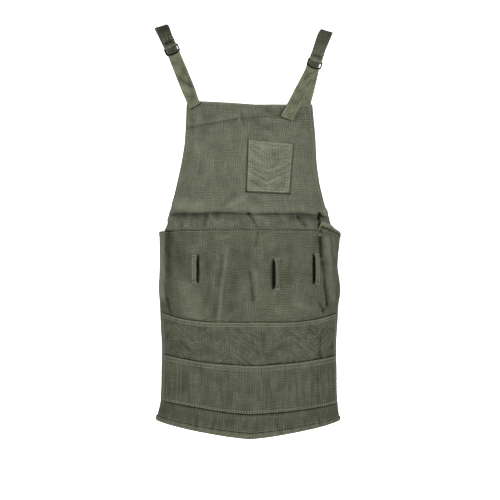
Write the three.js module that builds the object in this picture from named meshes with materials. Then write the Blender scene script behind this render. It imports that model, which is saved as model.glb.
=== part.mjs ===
// Painter's bib apron in heavy olive canvas, in the form it takes when it is worn.
// Millimetres, +Z up. The front faces -Y, and +X is on the viewer's right.
// The origin lies between the two shoulder straps, level with their tops, where shoulders carry the apron.

import * as THREE from "three";

// Driving dimensions of cloth, straps and rings
const CLOTH = 1.4; // wall of the bib and the skirt
const PATCH = 1.2; // wall of the pockets and the tool loops
const LAYER_GAP = 0.5; // clearance between layers that are sewn on each other
const HEM_FOLD = 0.8; // how far a turned hem stands out of its panel
const MOUTH_SLACK = 2; // how far a pocket's mouth gapes at its middle
const STRAP_WIDTH = 28;
const STRAP = 1.5; // wall of a strap
const STRAP_GAP = 0.5; // clearance between a strap and the ring it holds
const RING_INSIDE = 30; // clear width of a D-ring
const RING_WIRE = 3;
const RING_HEIGHT = 21; // from the straight bar to the foot of the bow, on centres
const RING_BOW = 24; // radius of the bow

// Sections of the two panels, from top to bottom. Each one is part of an ellipse round the wearer:
// z and front are its height and its Y on the midline, and depth is its half-depth.
// left and right are its furthest reach in X, and the turns are the angles to its two edges, in degrees.
// The lifts say how far the edges rise above the midline, and sweep how late the rise starts.
const COLUMNS = [
  "z", "front", "depth", "left", "leftTurn", "leftLift", "right", "rightTurn", "rightLift", "sweep",
];
const named = (row) => Object.fromEntries(COLUMNS.map((name, i) => [name, row[i]]));
const sections = (...rows) => rows.map(named);
const BIB = sections(
  [-193, -120, 100, 146, 50, 1, 144, 50, 4, 2],
  [-270, -128, 100, 149.5, 52, 0, 151, 52, 1, 2],
  [-322, -127.5, 102, 157.5, 54, 0, 154, 53, 0, 2],
  [-370, -126, 104, 168, 56, 0, 160.5, 55, 0, 2],
  [-413.5, -125, 108, 179, 61, -1, 172.7, 60, -5.5, 2],
  [-431.5, -130, 110, 183.7, 63, -1, 178.6, 62, -5.5, 2],
  [-439.5, -125, 110, 186, 64, -1, 181.4, 63, -5.5, 2],
  [-443.5, -115, 110, 187.3, 65, -1, 183.8, 64, -5.5, 2],
  [-481, -113, 109.4, 197, 68, 0, 191, 64, 0, 2],
  [-493, -113, 109.4, 197.5, 69, 0, 191.5, 65, 0, 2],
);
const SKIRT = sections(
  [-478.5, -116, 112, 215, 105, -5, 215, 105, -10.5, 5],
  [-553, -123, 112, 212.5, 99, -2, 208, 99, -6, 4],
  [-627, -127, 112, 216, 93, 10, 212, 93, 6, 4],
  [-693, -129, 112, 213, 88, 24, 206, 88, 20, 4],
  [-792, -130, 112, 208.5, 87, 23, 204, 87, 19, 1.6],
  [-900, -132, 112, 211, 87, 26, 206.5, 87, 17, 1.2],
  [-957, -133, 112, 221, 88, 33, 211.5, 88, 32, 1.25],
);

// Places on the panels, as row positions in the tables above: 3.5 is halfway from row 3 to row 4
const BIB_TOP_HEM = 0.24;
const UPPER_MOUTH = 3;
const UPPER_MOUTH_HEM = 3.14;
const LOWER_MOUTH = 4;
const LOWER_MOUTH_HEM = 4.13;
const POCKET_FOOT = 5;
const SKIRT_HEM = 5.76;
const HEM_STEP = 0.04; // rows over which a hem's turned edge steps down
const BIB_COLUMNS = 20;
const SKIRT_COLUMNS = { left: 2, rest: 28 }; // columns left of the pocket rows and from there on
const POCKET_LEFT = 5 / 6; // place of the pocket rows' left edge, as a share of the way to the skirt's edge
const POCKET_INSET = { left: 2, right: 2 }; // columns of skirt left bare beside the pocket rows

// Where a top edge is drawn up: the X of its peak, its rise and its two flanks, and the row position down to
// which it fades. The skirt's right wing rides up over the bib's corner, and the left strap draws up the bib.
const WING = { peak: 165, rise: 21, innerFlank: 10, outerFlank: 50, fade: 0.4 };
const STRAP_DRAW = { peak: -112, rise: 9, innerFlank: 38, outerFlank: 125, fade: 2 };

// Main folds: a ridge, or a crease where rise is negative, along a line between two points of the front
const BIB_FOLDS = [
  { name: "packing crease", fromX: -144, fromZ: -244, toX: -32, toZ: -226, width: 5, rise: -1.4 },
  { name: "drag to the waist", fromX: -60, fromZ: -427, toX: -10, toZ: -402, width: 8, rise: 2 },
];
const SKIRT_FOLDS = [
  { name: "right crease", fromX: 165, fromZ: -512, toX: 180, toZ: -650, width: 7, rise: -6 },
  { name: "right ridge", fromX: 178, fromZ: -510, toX: 192, toZ: -640, width: 7, rise: 4 },
  { name: "left ridge", fromX: -64, fromZ: -540, toX: -67, toZ: -676, width: 10, rise: 4 },
  { name: "left hollow", fromX: -44, fromZ: -550, toX: -46, toZ: -670, width: 10, rise: -2.5 },
  { name: "middle crease", fromX: 0, fromZ: -590, toX: 2, toZ: -645, width: 6, rise: -3 },
];

// Patch pocket on the bib: its corners on the front, and its mesh
const CHEST_POCKET = {
  topLeft: [-2, -276],
  topRight: [97, -284],
  footRight: [88, -394],
  footLeft: [-6, -390],
  columns: 8,
  rows: 9,
};

// Tool loops on the skirt: where each starts and ends, and how far its free edge twists out, in degrees
const LOOP_WIDTH = 12;
const LOOP_RISE = 13;
const LOOP_FORWARD = 0.65; // share by which a loop bows straight forward, not square to the skirt
const LOOP_STEPS = 14;
const LOOP_END = 0.1; // share of a loop's length that is sewn flat at each end
const LOOPS = [
  { name: "tool_loop_left", x: -127, topZ: -536, footZ: -601, twist: 12 },
  { name: "tool_loop_centre", x: 62, topZ: -546, footZ: -615, twist: -22 },
  { name: "tool_loop_right", x: 154.5, topZ: -534, footZ: -604, twist: -8 },
];

// Adjusters: the place of the rear ring's straight bar, the point of the bib that the rings hang towards,
// where on the bib the front strap is sewn and where its tail ends, the strap's apex on the shoulder,
// the height at which it meets the far wing of the skirt, and its clearance where it crosses its twin.
const ADJUSTERS = [
  {
    side: "left",
    sign: -1,
    bar: [-185, -60, -52],
    aim: [-124, -96, -189],
    sewn: [-131, -191],
    tail: [-123, -195],
    apex: { reach: 213, z: 5 },
    farCornerZ: -522,
    crossing: 1.7,
  },
  {
    side: "right",
    sign: 1,
    bar: [152.5, -66, -85],
    aim: [118, -97, -190],
    sewn: [129, -188],
    tail: [82, -225],
    apex: { reach: 183, z: -5 },
    farCornerZ: -508,
    crossing: -1.7,
  },
];
const FOLD_BACK = 26; // from the straight bar to the sewn end of the shoulder strap
const WING_ROOM = 0.5; // extra clearance of a strap inside the curved wing of the skirt
const SEWN_BELOW = 30; // how far a front strap runs down behind the bib
const BOW_SLACK = 0.8; // extra room of a strap above the bow
const STRAP_SPREAD = 9; // length over which the two layers of a strap part to pass a ring

// Route of a shoulder strap from its apex to where it crosses its twin. share is X as a share of the apex's
// reach, over is the turn of the outward side from front to back, and lean its tip to the side, in degrees.
const BACK_ROUTE = [
  { share: 1, y: 0, z: 0, over: 90, lean: 17 },
  { share: 0.96, y: 42, z: -17, over: 122, lean: 16 },
  { share: 0.83, y: 79, z: -75, over: 154, lean: 11 },
  { share: 0.66, y: 101, z: -165, over: 172, lean: 4 },
  { share: 0.57, y: 104, z: -200, over: 175, lean: 3 },
];
const CROSSING_Z = -300;
// The lower back route goes round the hips on an ellipse, to the far wing of the skirt
const HIP_HALF_BREADTH = 212.5;
const HIP_HALF_DEPTH = 109;
const HIP_MIDDLE_Y = -4;
const HIP_ANGLES = [0, 22, 42, 60, 75, 88];
const CORNER_ANGLE = 75;

const canvas = new THREE.MeshStandardMaterial({ color: 0x6b6d5d, roughness: 0.95, metalness: 0 });
const strapCanvas = new THREE.MeshStandardMaterial({ color: 0x63664f, roughness: 0.92, metalness: 0 });
const blackMetal = new THREE.MeshStandardMaterial({ color: 0x1d1d1f, roughness: 0.35, metalness: 0.9 });

const { degToRad, radToDeg, lerp, clamp, smoothstep } = THREE.MathUtils;
const FORWARD = new THREE.Vector3(0, -1, 0);
const vector = (list) => new THREE.Vector3(...list);
const along = (start, direction, distance) => start.clone().addScaledVector(direction, distance);

// Evenly spaced numbers from one value to another.
function lines(from, to, steps) {
  return Array.from({ length: steps + 1 }, (_, i) => lerp(from, to, i / steps));
}

// One column of a section table at a row position: a Catmull-Rom curve that runs straight on past the ends.
function through(rows, column, position) {
  const last = rows.length - 1;
  const first = clamp(Math.floor(position), 0, last - 1);
  const [b, c] = [rows[first][column], rows[first + 1][column]];
  const a = first > 0 ? rows[first - 1][column] : 2 * b - c;
  const d = first + 1 < last ? rows[first + 2][column] : 2 * c - b;
  const f = position - first;
  const bend = (2 * a - 5 * b + 4 * c - d) * f ** 2 + (3 * b - a - 3 * c + d) * f ** 3;
  return b + 0.5 * ((c - a) * f + bend);
}

// Rise of all folds of a table at a point of the front: each is a bell across its line.
function foldRise(folds, x, z) {
  return folds.reduce((sum, fold) => {
    const dx = fold.toX - fold.fromX;
    const dz = fold.toZ - fold.fromZ;
    const share = clamp(((x - fold.fromX) * dx + (z - fold.fromZ) * dz) / (dx ** 2 + dz ** 2), 0, 1);
    const off = Math.hypot(x - fold.fromX - share * dx, z - fold.fromZ - share * dz);
    return sum + fold.rise * Math.exp(-((off / fold.width) ** 2));
  }, 0);
}

// How far a top edge is drawn up at an X: roundly to its peak, and straight down after it.
const drawnUp = ({ peak, rise, innerFlank, outerFlank, fade }) => (x, position) => {
  const off = x - peak;
  const share = off < 0 ? Math.exp(-((off / innerFlank) ** 2)) : Math.max(1 - off / outerFlank, 0);
  return rise * clamp(1 - position / fade, 0, 1) ** 2 * share;
};

// A cloth panel: its points and normals by row position and t, which goes from -1 (left edge) to 1 (right).
class Panel {
  constructor(rows, folds, topEdge) {
    this.rows = rows;
    this.folds = folds;
    this.topEdge = topEdge;
    this.frontSpan = 89 / Math.max(...rows.flatMap((row) => [row.leftTurn, row.rightTurn]));
  }

  smooth(t, position) {
    const side = t < 0 ? "left" : "right";
    const value = (column) => through(this.rows, column, position);
    const turn = degToRad(value(side + "Turn"));
    const angle = Math.abs(t) * turn;
    const halfBreadth = value(side) / Math.sin(Math.min(turn, Math.PI / 2));
    const x = Math.sign(t) * halfBreadth * Math.sin(angle);
    const rise = value(side + "Lift") * Math.abs(x / value(side)) ** value("sweep");
    const y = value("front") + value("depth") * (1 - Math.cos(angle));
    return new THREE.Vector3(x, y, value("z") + rise + this.topEdge(x, position));
  }

  slopeNormal(place, t, position) {
    const step = 1e-3;
    const down = place(t, position + step).sub(place(t, position - step));
    const across = place(t + step, position).sub(place(t - step, position));
    return down.cross(across).normalize();
  }

  point(t, position) {
    const flat = this.smooth(t, position);
    const normal = this.slopeNormal((a, b) => this.smooth(a, b), t, position);
    return flat.addScaledVector(normal, foldRise(this.folds, flat.x, flat.z));
  }

  normal(t, position) {
    return this.slopeNormal((a, b) => this.point(a, b), t, position);
  }

  // The t and row position of a point that is given by its X and Z on the front, found by bisection.
  locate(x, z) {
    let t = 0;
    let position = 0;
    for (let round = 0; round < 8; round++) {
      position = bisect((p) => z - this.smooth(t, p).z, -0.6, this.rows.length - 1);
      t = bisect((s) => this.smooth(s, position).x - x, -this.frontSpan, this.frontSpan);
    }
    return [t, position];
  }

  // The same for a point of the left (-1) or right (1) side that is given by its Y and Z.
  locateOnSide(sign, y, z) {
    let t = sign;
    let position = 0;
    for (let round = 0; round < 8; round++) {
      position = bisect((p) => z - this.smooth(t, p).z, -0.6, this.rows.length - 1);
      t = sign * bisect((s) => this.smooth(sign * s, position).y - y, 0.5, 1.4);
    }
    return [t, position];
  }
}

// Where a rising function passes zero.
function bisect(rising, low, high) {
  for (let step = 0; step < 40; step++) {
    const middle = (low + high) / 2;
    if (rising(middle) < 0) low = middle;
    else high = middle;
  }
  return (low + high) / 2;
}

// Closed wall between an outer and an inner sheet of points, joined round their rims.
// Rows by columns turn anticlockwise as seen from the outer side.
function wallGeometry(outer, inner) {
  const rows = outer.length;
  const columns = outer[0].length;
  const at = (sheet, row, column) => (sheet * rows + row) * columns + column;
  const index = [];
  const quad = (a, b, c, d) => index.push(a, b, c, a, c, d);
  for (let r = 0; r < rows - 1; r++) {
    for (let c = 0; c < columns - 1; c++) {
      quad(at(0, r, c), at(0, r + 1, c), at(0, r + 1, c + 1), at(0, r, c + 1));
      quad(at(1, r, c), at(1, r, c + 1), at(1, r + 1, c + 1), at(1, r + 1, c));
    }
  }
  const [lastRow, lastColumn] = [rows - 1, columns - 1];
  for (let c = 0; c < lastColumn; c++) {
    quad(at(0, 0, c), at(0, 0, c + 1), at(1, 0, c + 1), at(1, 0, c));
    quad(at(0, lastRow, c + 1), at(0, lastRow, c), at(1, lastRow, c), at(1, lastRow, c + 1));
  }
  for (let r = 0; r < lastRow; r++) {
    quad(at(0, r + 1, 0), at(0, r, 0), at(1, r, 0), at(1, r + 1, 0));
    quad(at(0, r, lastColumn), at(0, r + 1, lastColumn), at(1, r + 1, lastColumn), at(1, r, lastColumn));
  }
  const positions = [outer, inner].flat(2).flatMap((p) => p.toArray());
  return new THREE.BufferGeometry()
    .setAttribute("position", new THREE.Float32BufferAttribute(positions, 3))
    .setIndex(index);
}

// Wall of cloth over a panel, between two offsets from its surface, each a function of t and row position.
function clothGeometry(panel, tLines, rowLines, inside, outside) {
  const sheet = (offset) =>
    rowLines.map((position) =>
      tLines.map((t) => along(panel.point(t, position), panel.normal(t, position), offset(t, position))),
    );
  return wallGeometry(sheet(outside), sheet(inside));
}

// Wall along stations: each is a function that gives the point at w across the strap and off its middle.
function ribbonGeometry(stations, width, thickness, columns) {
  const across = lines(-width / 2, width / 2, columns);
  const sheet = (off) => stations.map((station) => across.map((w) => station(w, off)));
  return wallGeometry(sheet(thickness / 2), sheet(-thickness / 2));
}

// A flat station, one cupped upwards by a rise across it, and one that settles on a surface by a share.
const flat = (centre, normal, across) => (w, off) => along(along(centre, across, w), normal, off);
const cupped = (station, up, rise) => (w, off) => along(station(w, off), up, rise(w));
const settled = (station, surface, share) => (w, off) =>
  station(w, off).lerp(surface(station(w, 0), off), share);

// Round wire along a closed path in the XY plane.
function wireGeometry(path, radius, sides) {
  const index = [];
  const positions = path.flatMap((point, i) => {
    const before = path[(i + path.length - 1) % path.length];
    const after = path[(i + 1) % path.length];
    const out = new THREE.Vector2(after.y - before.y, before.x - after.x).normalize();
    return lines(0, 2 * Math.PI, sides).slice(0, -1).flatMap((angle, k) => {
      const next = ((i + 1) % path.length) * sides;
      const k2 = (k + 1) % sides;
      index.push(i * sides + k, next + k2, i * sides + k2, i * sides + k, next + k, next + k2);
      const reach = radius * Math.cos(angle);
      return [point.x + out.x * reach, point.y + out.y * reach, radius * Math.sin(angle)];
    });
  });
  return new THREE.BufferGeometry()
    .setAttribute("position", new THREE.Float32BufferAttribute(positions, 3))
    .setIndex(index);
}

const apron = new THREE.Group();
apron.name = "painter_apron";

function add(parent, name, geometry, material) {
  geometry.computeVertexNormals();
  const mesh = new THREE.Mesh(geometry, material);
  mesh.name = name;
  parent.add(mesh);
  return mesh;
}

const bib = new Panel(BIB, BIB_FOLDS, drawnUp(STRAP_DRAW));
const skirt = new Panel(SKIRT, SKIRT_FOLDS, drawnUp(WING));
const half = CLOTH / 2;

// Bib: one panel from the top hem over the waist fold to the lap behind the skirt
function addBib() {
  const rows = [
    0, BIB_TOP_HEM, BIB_TOP_HEM + HEM_STEP,
    ...lines(0.5, 4, 9), ...lines(4.5, 7, 5), ...lines(7.4, 9, 4),
  ];
  const outside = (t, position) => half + (position <= BIB_TOP_HEM ? HEM_FOLD : 0);
  add(apron, "bib", clothGeometry(bib, lines(-1, 1, BIB_COLUMNS), rows, () => -half, outside), canvas);
}

// Skirt and its two rows of pockets share their grid lines, so that the layers stay parallel
const skirtLines = [
  ...lines(-1, -POCKET_LEFT, SKIRT_COLUMNS.left).slice(0, -1),
  ...lines(-POCKET_LEFT, 1, SKIRT_COLUMNS.rest),
];
const pocketLines = skirtLines.slice(POCKET_INSET.left, -POCKET_INSET.right);
const pocketReach = (t) => Math.abs(pocketLines.at(t < 0 ? 0 : -1));
const upperRows = [UPPER_MOUTH, UPPER_MOUTH_HEM, UPPER_MOUTH_HEM + HEM_STEP, 3.45, 3.72];
const lowerRows = [LOWER_MOUTH, LOWER_MOUTH_HEM, LOWER_MOUTH_HEM + HEM_STEP, 4.45, 4.72, POCKET_FOOT];

function addSkirt() {
  const rows = [...lines(0, 2.7, 9), ...upperRows, ...lowerRows, 5.4, SKIRT_HEM, SKIRT_HEM + HEM_STEP, 6];
  const outside = (t, position) => half + (position > SKIRT_HEM ? HEM_FOLD : 0);
  add(apron, "skirt", clothGeometry(skirt, skirtLines, rows, () => -half, outside), canvas);
}

// Gape of a pocket row: most at the middle of its mouth, none at its sides and foot.
function gape(mouth, t, position) {
  const open = clamp((POCKET_FOOT - position) / (POCKET_FOOT - mouth), 0, 1);
  return MOUTH_SLACK * open ** 1.5 * (1 - (t / pocketReach(t)) ** 4);
}

function addPocketRows() {
  const hem = (position, edge) => (position <= edge ? HEM_FOLD : 0);
  const upperInside = (t, p) => half + LAYER_GAP + gape(UPPER_MOUTH, t, p);
  const upperOutside = (t, p) => upperInside(t, p) + PATCH + hem(p, UPPER_MOUTH_HEM);
  const lowerInside = (t, p) => upperOutside(t, p) + LAYER_GAP + gape(LOWER_MOUTH, t, p);
  const lowerOutside = (t, p) => lowerInside(t, p) + PATCH + hem(p, LOWER_MOUTH_HEM);
  const upper = clothGeometry(skirt, pocketLines, [...upperRows, ...lowerRows], upperInside, upperOutside);
  const lower = clothGeometry(skirt, pocketLines, lowerRows, lowerInside, lowerOutside);
  add(apron, "pocket_row_upper", upper, canvas);
  add(apron, "pocket_row_lower", lower, canvas);
}

function addChestPocket() {
  const { topLeft, topRight, footRight, footLeft, columns, rows } = CHEST_POCKET;
  const corner = (u, v, axis) =>
    lerp(lerp(topLeft[axis], topRight[axis], u), lerp(footLeft[axis], footRight[axis], u), v);
  const sheet = (offset) =>
    lines(0, 1, rows).map((v) =>
      lines(0, 1, columns).map((u) => {
        const place = bib.locate(corner(u, v, 0), corner(u, v, 1));
        const slack = MOUTH_SLACK * (1 - v) ** 1.5 * (1 - (2 * u - 1) ** 4);
        return along(bib.point(...place), bib.normal(...place), half + LAYER_GAP + slack + offset);
      }),
    );
  add(apron, "chest_pocket", wallGeometry(sheet(PATCH), sheet(0)), canvas);
}

// A tool loop lies flat at its two sewn ends and bows out between them, with one edge twisted out.
function addToolLoop({ name, x, topZ, footZ, twist }) {
  const stations = lines(0, 1, LOOP_STEPS).map((share) => {
    const place = skirt.locate(x, lerp(topZ, footZ, share));
    const normal = skirt.normal(...place);
    const free = clamp((share - LOOP_END) / (1 - 2 * LOOP_END), 0, 1);
    const bow = 1 - (2 * free - 1) ** 4;
    const down = new THREE.Vector3(0, 0, -1).addScaledVector(normal, normal.z).normalize();
    const turned = normal.clone().applyAxisAngle(down, degToRad(twist) * bow);
    const sewn = along(skirt.point(...place), normal, half + LAYER_GAP + PATCH / 2);
    const centre = along(sewn, normal.clone().lerp(FORWARD, LOOP_FORWARD).normalize(), LOOP_RISE * bow);
    return flat(centre, turned, turned.clone().cross(down));
  });
  add(apron, name, ribbonGeometry(stations, LOOP_WIDTH, PATCH, 1), canvas);
}

// Outward side of a shoulder strap: over turns it from the front to the back, and lean tips it sideways.
function outward(sign, over, lean) {
  const [turn, tip] = [degToRad(over), degToRad(lean)];
  const upright = new THREE.Vector3(0, -Math.cos(turn), Math.sin(turn));
  return upright.multiplyScalar(Math.cos(tip)).setX(sign * Math.sin(tip));
}

// Frame of an adjuster at the straight bar of its rear ring: across, up the strap, and out to the front.
function adjusterFrame({ sign, bar, aim }) {
  const up = vector(bar).sub(vector(aim)).normalize();
  const chestward = outward(sign, 20, 12);
  const out = chestward.addScaledVector(up, -chestward.dot(up)).normalize();
  const facing = (angle) => along(out.clone().multiplyScalar(Math.cos(angle)), up, Math.sin(angle));
  return { bar: vector(bar), up, out, across: up.clone().cross(out), facing };
}

// From a bar's centre to the middle of a strap round it, and how far the front ring stands out of the rear
// one at its straight bar and at its bow, where the strap's tail goes between the two
const barClear = RING_WIRE / 2 + STRAP_GAP + STRAP / 2;
const frontBarOut = RING_WIRE + STRAP_GAP;
const frontBowOut = 2 * barClear + 0.1;

// D-rings: a straight bar, two sides and a bow, in a frame whose origin is the middle of the straight bar
function addRings(adjuster) {
  const frame = adjusterFrame(adjuster);
  const group = new THREE.Group();
  group.position.copy(frame.bar);
  group.setRotationFromMatrix(new THREE.Matrix4().makeBasis(frame.across, frame.up, frame.out));
  apron.add(group);

  const reach = (RING_INSIDE + RING_WIRE) / 2;
  const corner = RING_WIRE;
  const bowAngle = Math.acos(reach / RING_BOW);
  const outline = new THREE.Path()
    .moveTo(-reach + corner, 0)
    .lineTo(reach - corner, 0)
    .absarc(reach - corner, -corner, corner, Math.PI / 2, 0, true)
    .absarc(0, RING_BOW - RING_HEIGHT, RING_BOW, -bowAngle, bowAngle - Math.PI, true)
    .absarc(-reach + corner, -corner, corner, Math.PI, Math.PI / 2, true);
  const path = outline.closePath().getPoints(4).slice(0, -1);
  const wire = () => wireGeometry(path, RING_WIRE / 2, 6);

  add(group, `ring_${adjuster.side}_rear`, wire(), blackMetal);
  const front = add(group, `ring_${adjuster.side}_front`, wire(), blackMetal);
  front.position.z = frontBarOut;
  front.rotation.x = -Math.asin((frontBowOut - frontBarOut) / RING_HEIGHT);
}

// How far the bow lifts a strap at w from its middle.
const bowLift = (w) => RING_BOW - Math.sqrt(RING_BOW ** 2 - w ** 2);

// Sewn layers: the place of a strap on the front (1) or the back (-1) of a panel, by a point near it.
const sewnLayer = half + LAYER_GAP + STRAP / 2;
const onBib = (side, extra) => (point, off) => {
  const place = bib.locate(point.x, point.z);
  return along(bib.point(...place), bib.normal(...place), side * (sewnLayer + extra + off));
};
const insideWing = (sign) => (point, off) => {
  const place = skirt.locateOnSide(sign, point.y, point.z);
  return along(skirt.point(...place), skirt.normal(...place), -sewnLayer - WING_ROOM - off);
};

// One leg of a front strap, from the bow to a place on the bib and on below it, on its front or its back.
function strapLeg(frame, bow, [x, z], side, steps, below) {
  const surface = onBib(side, side > 0 ? HEM_FOLD : 0);
  const end = surface(new THREE.Vector3(x, 0, z), 0);
  const bibOut = bib.normal(...bib.locate(x, z));
  const down = end.clone().sub(bow).normalize();
  const length = end.distanceTo(bow);
  return lines(0, length + below, steps).slice(1).map((distance) => {
    const near = lerp(barClear, (STRAP + STRAP_GAP) / 2, smoothstep(distance, 0, 2 * STRAP_SPREAD));
    const facing = frame.out.clone().lerp(bibOut, smoothstep(distance, 0, length));
    const normal = facing.addScaledVector(down, -facing.dot(down)).normalize();
    const clear = side * near * (1 - smoothstep(distance, length - 40, length));
    const centre = along(along(bow, down, distance), frame.out, clear);
    const station = flat(centre, normal.clone().multiplyScalar(side), normal.clone().cross(down));
    const cup = 1 - smoothstep(distance, 3, 40);
    const bowed = cupped(station, frame.up, (w) => cup * bowLift(w));
    return settled(bowed, surface, 1 - smoothstep(centre.z, BIB[0].z + 12, BIB[0].z + 38));
  });
}

// Front strap: sewn behind the bib, up behind both rings, over the rear bow and down between the bows
function addFrontStrap(adjuster) {
  const frame = adjusterFrame(adjuster);
  const bow = along(frame.bar, frame.up, -RING_HEIGHT);
  const round = lines(Math.PI, 0, 6).map((angle) => {
    const normal = frame.facing(angle);
    const centre = along(along(bow, normal, barClear), frame.up, BOW_SLACK * Math.sin(angle));
    return cupped(flat(centre, normal, frame.across), frame.up, bowLift);
  });
  const sewn = strapLeg(frame, bow, adjuster.sewn, -1, 13, SEWN_BELOW).reverse();
  const tail = strapLeg(frame, bow, adjuster.tail, 1, 12, 0);
  const geometry = ribbonGeometry([...sewn, ...round, ...tail], STRAP_WIDTH, STRAP, 4);
  add(apron, `front_strap_${adjuster.side}`, geometry, strapCanvas);
}

// Rows of the route of a shoulder strap after its loop: place, and the turn and lean of its outward side
function shoulderRoute(adjuster, frame) {
  const { sign, apex } = adjuster;
  const rearLayer = (frontBarOut - STRAP - STRAP_GAP) / 2;
  const loopTop = along(along(frame.bar, frame.up, STRAP_SPREAD), frame.out, rearLayer);
  const foldTop = along(loopTop, frame.up, FOLD_BACK - STRAP_SPREAD);
  const top = new THREE.Vector3(sign * apex.reach, 0, apex.z);
  const rise = foldTop.clone().lerp(top, 0.55).add(new THREE.Vector3(0, -7, 7));
  const route = [
    { place: loopTop, over: 20, lean: 12 },
    { place: foldTop, over: 26, lean: 13 },
    { place: rise, over: 55, lean: 16 },
  ];
  for (const { share, y, z, over, lean } of BACK_ROUTE) {
    const x = sign * share * apex.reach;
    route.push({ place: new THREE.Vector3(x, y, apex.z + z), over, lean });
  }
  for (const degrees of HIP_ANGLES) {
    const angle = degToRad(degrees);
    const clear = adjuster.crossing * clamp(1 - degrees / 40, 0, 1);
    const x = -sign * HIP_HALF_BREADTH * Math.sin(angle);
    const y = HIP_MIDDLE_Y + HIP_HALF_DEPTH * Math.cos(angle) + clear;
    const z = lerp(CROSSING_Z, adjuster.farCornerZ, degrees / CORNER_ANGLE);
    const slope = Math.atan2(Math.sin(angle) / HIP_HALF_BREADTH, Math.cos(angle) / HIP_HALF_DEPTH);
    route.push({ place: new THREE.Vector3(x, y, z), over: 180, lean: -radToDeg(slope) });
  }
  return route;
}

// Shoulder strap: a sewn loop round the straight bars, then over the shoulder and across the back
function addShoulderStrap(adjuster) {
  const frame = adjusterFrame(adjuster);
  const inLoop = (up, out, normal) =>
    flat(along(along(frame.bar, frame.up, up), frame.out, out), normal, frame.across);
  const round = (barOut, angle) => {
    const normal = frame.facing(angle);
    return inLoop(barClear * Math.sin(angle), barOut + barClear * Math.cos(angle), normal);
  };
  const frontLayer = (frontBarOut + STRAP + STRAP_GAP) / 2;
  const loop = [
    ...[FOLD_BACK, STRAP_SPREAD + 6, STRAP_SPREAD].map((up) => inLoop(up, frontLayer, frame.out)),
    ...lines(0.3, -Math.PI / 2, 4).map((angle) => round(frontBarOut, angle)),
    ...lines(-Math.PI / 2, -Math.PI - 0.3, 4).map((angle) => round(0, angle)),
  ];

  const route = shoulderRoute(adjuster, frame);
  const places = new THREE.CatmullRomCurve3(route.map((row) => row.place));
  const sides = new THREE.CatmullRomCurve3(route.map((row) => new THREE.Vector3(row.over, row.lean, 0)));
  const lapStart = 1 - 2 / (route.length - 1);
  const run = lines(0, 1, 44).map((u) => {
    const tangent = places.getTangent(u);
    const { x: over, y: lean } = sides.getPoint(u);
    const facing = outward(adjuster.sign, over, lean);
    const normal = facing.addScaledVector(tangent, -facing.dot(tangent)).normalize().negate();
    const station = flat(places.getPoint(u), normal, normal.clone().cross(tangent));
    const lapped = smoothstep(u, lapStart, lapStart + 0.05);
    return lapped ? settled(station, insideWing(-adjuster.sign), lapped) : station;
  });
  const geometry = ribbonGeometry([...loop, ...run], STRAP_WIDTH, STRAP, 2);
  add(apron, `shoulder_strap_${adjuster.side}`, geometry, strapCanvas);
}

addBib();
addSkirt();
addPocketRows();
addChestPocket();
LOOPS.forEach(addToolLoop);
for (const adjuster of ADJUSTERS) {
  addRings(adjuster);
  addFrontStrap(adjuster);
  addShoulderStrap(adjuster);
}

export default apron;
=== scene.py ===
"""Painter's bib apron in heavy olive canvas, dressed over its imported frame.

Tables and shapes are in millimetres and become metres when a mesh is made.
+Z is up, the front faces -Y and +X is on the viewer's right.
"""
import logging
from dataclasses import dataclass, field
from enum import Enum
from typing import Callable, Sequence

import bpy
import numpy as np
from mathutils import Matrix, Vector


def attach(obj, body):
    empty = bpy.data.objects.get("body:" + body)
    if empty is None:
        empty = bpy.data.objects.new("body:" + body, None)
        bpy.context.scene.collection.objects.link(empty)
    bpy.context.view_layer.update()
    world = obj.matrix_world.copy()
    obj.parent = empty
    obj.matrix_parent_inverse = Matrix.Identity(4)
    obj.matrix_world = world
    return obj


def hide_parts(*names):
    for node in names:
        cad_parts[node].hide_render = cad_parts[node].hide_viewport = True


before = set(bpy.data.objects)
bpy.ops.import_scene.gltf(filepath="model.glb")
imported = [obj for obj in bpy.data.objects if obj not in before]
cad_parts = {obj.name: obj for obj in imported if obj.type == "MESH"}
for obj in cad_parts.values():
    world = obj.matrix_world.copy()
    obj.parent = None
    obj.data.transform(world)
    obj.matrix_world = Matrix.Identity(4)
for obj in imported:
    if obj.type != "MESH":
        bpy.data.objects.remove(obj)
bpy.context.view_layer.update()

log = logging.getLogger("painter_apron")
Array = np.ndarray
MM = 0.001
BODY = "root"

# Driving sizes of cloth, straps and rings
CLOTH = 1.4
PATCH = 1.2
LAYER_GAP = 0.5
MOUTH_SLACK = 2.0
STRAP_WIDTH = 28.0
STRAP = 1.5
STRAP_GAP = 0.5
RING_INSIDE = 30.0
RING_WIRE = 3.0
RING_HEIGHT = 21.0
RING_BOW = 24.0
HALF = CLOTH / 2
SEWN_LAYER = HALF + LAYER_GAP + STRAP / 2
STITCH_LIFT = 0.05  # of a stitch's middle above the cloth
SEAM_END = 0.985  # t at which the seams along an edge end

# Gradient noise reaches about 0.7, and this brings it to 1
FULL_SWELL = 1.4
LATTICE = 64  # lattice points each way before the noise repeats

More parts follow.
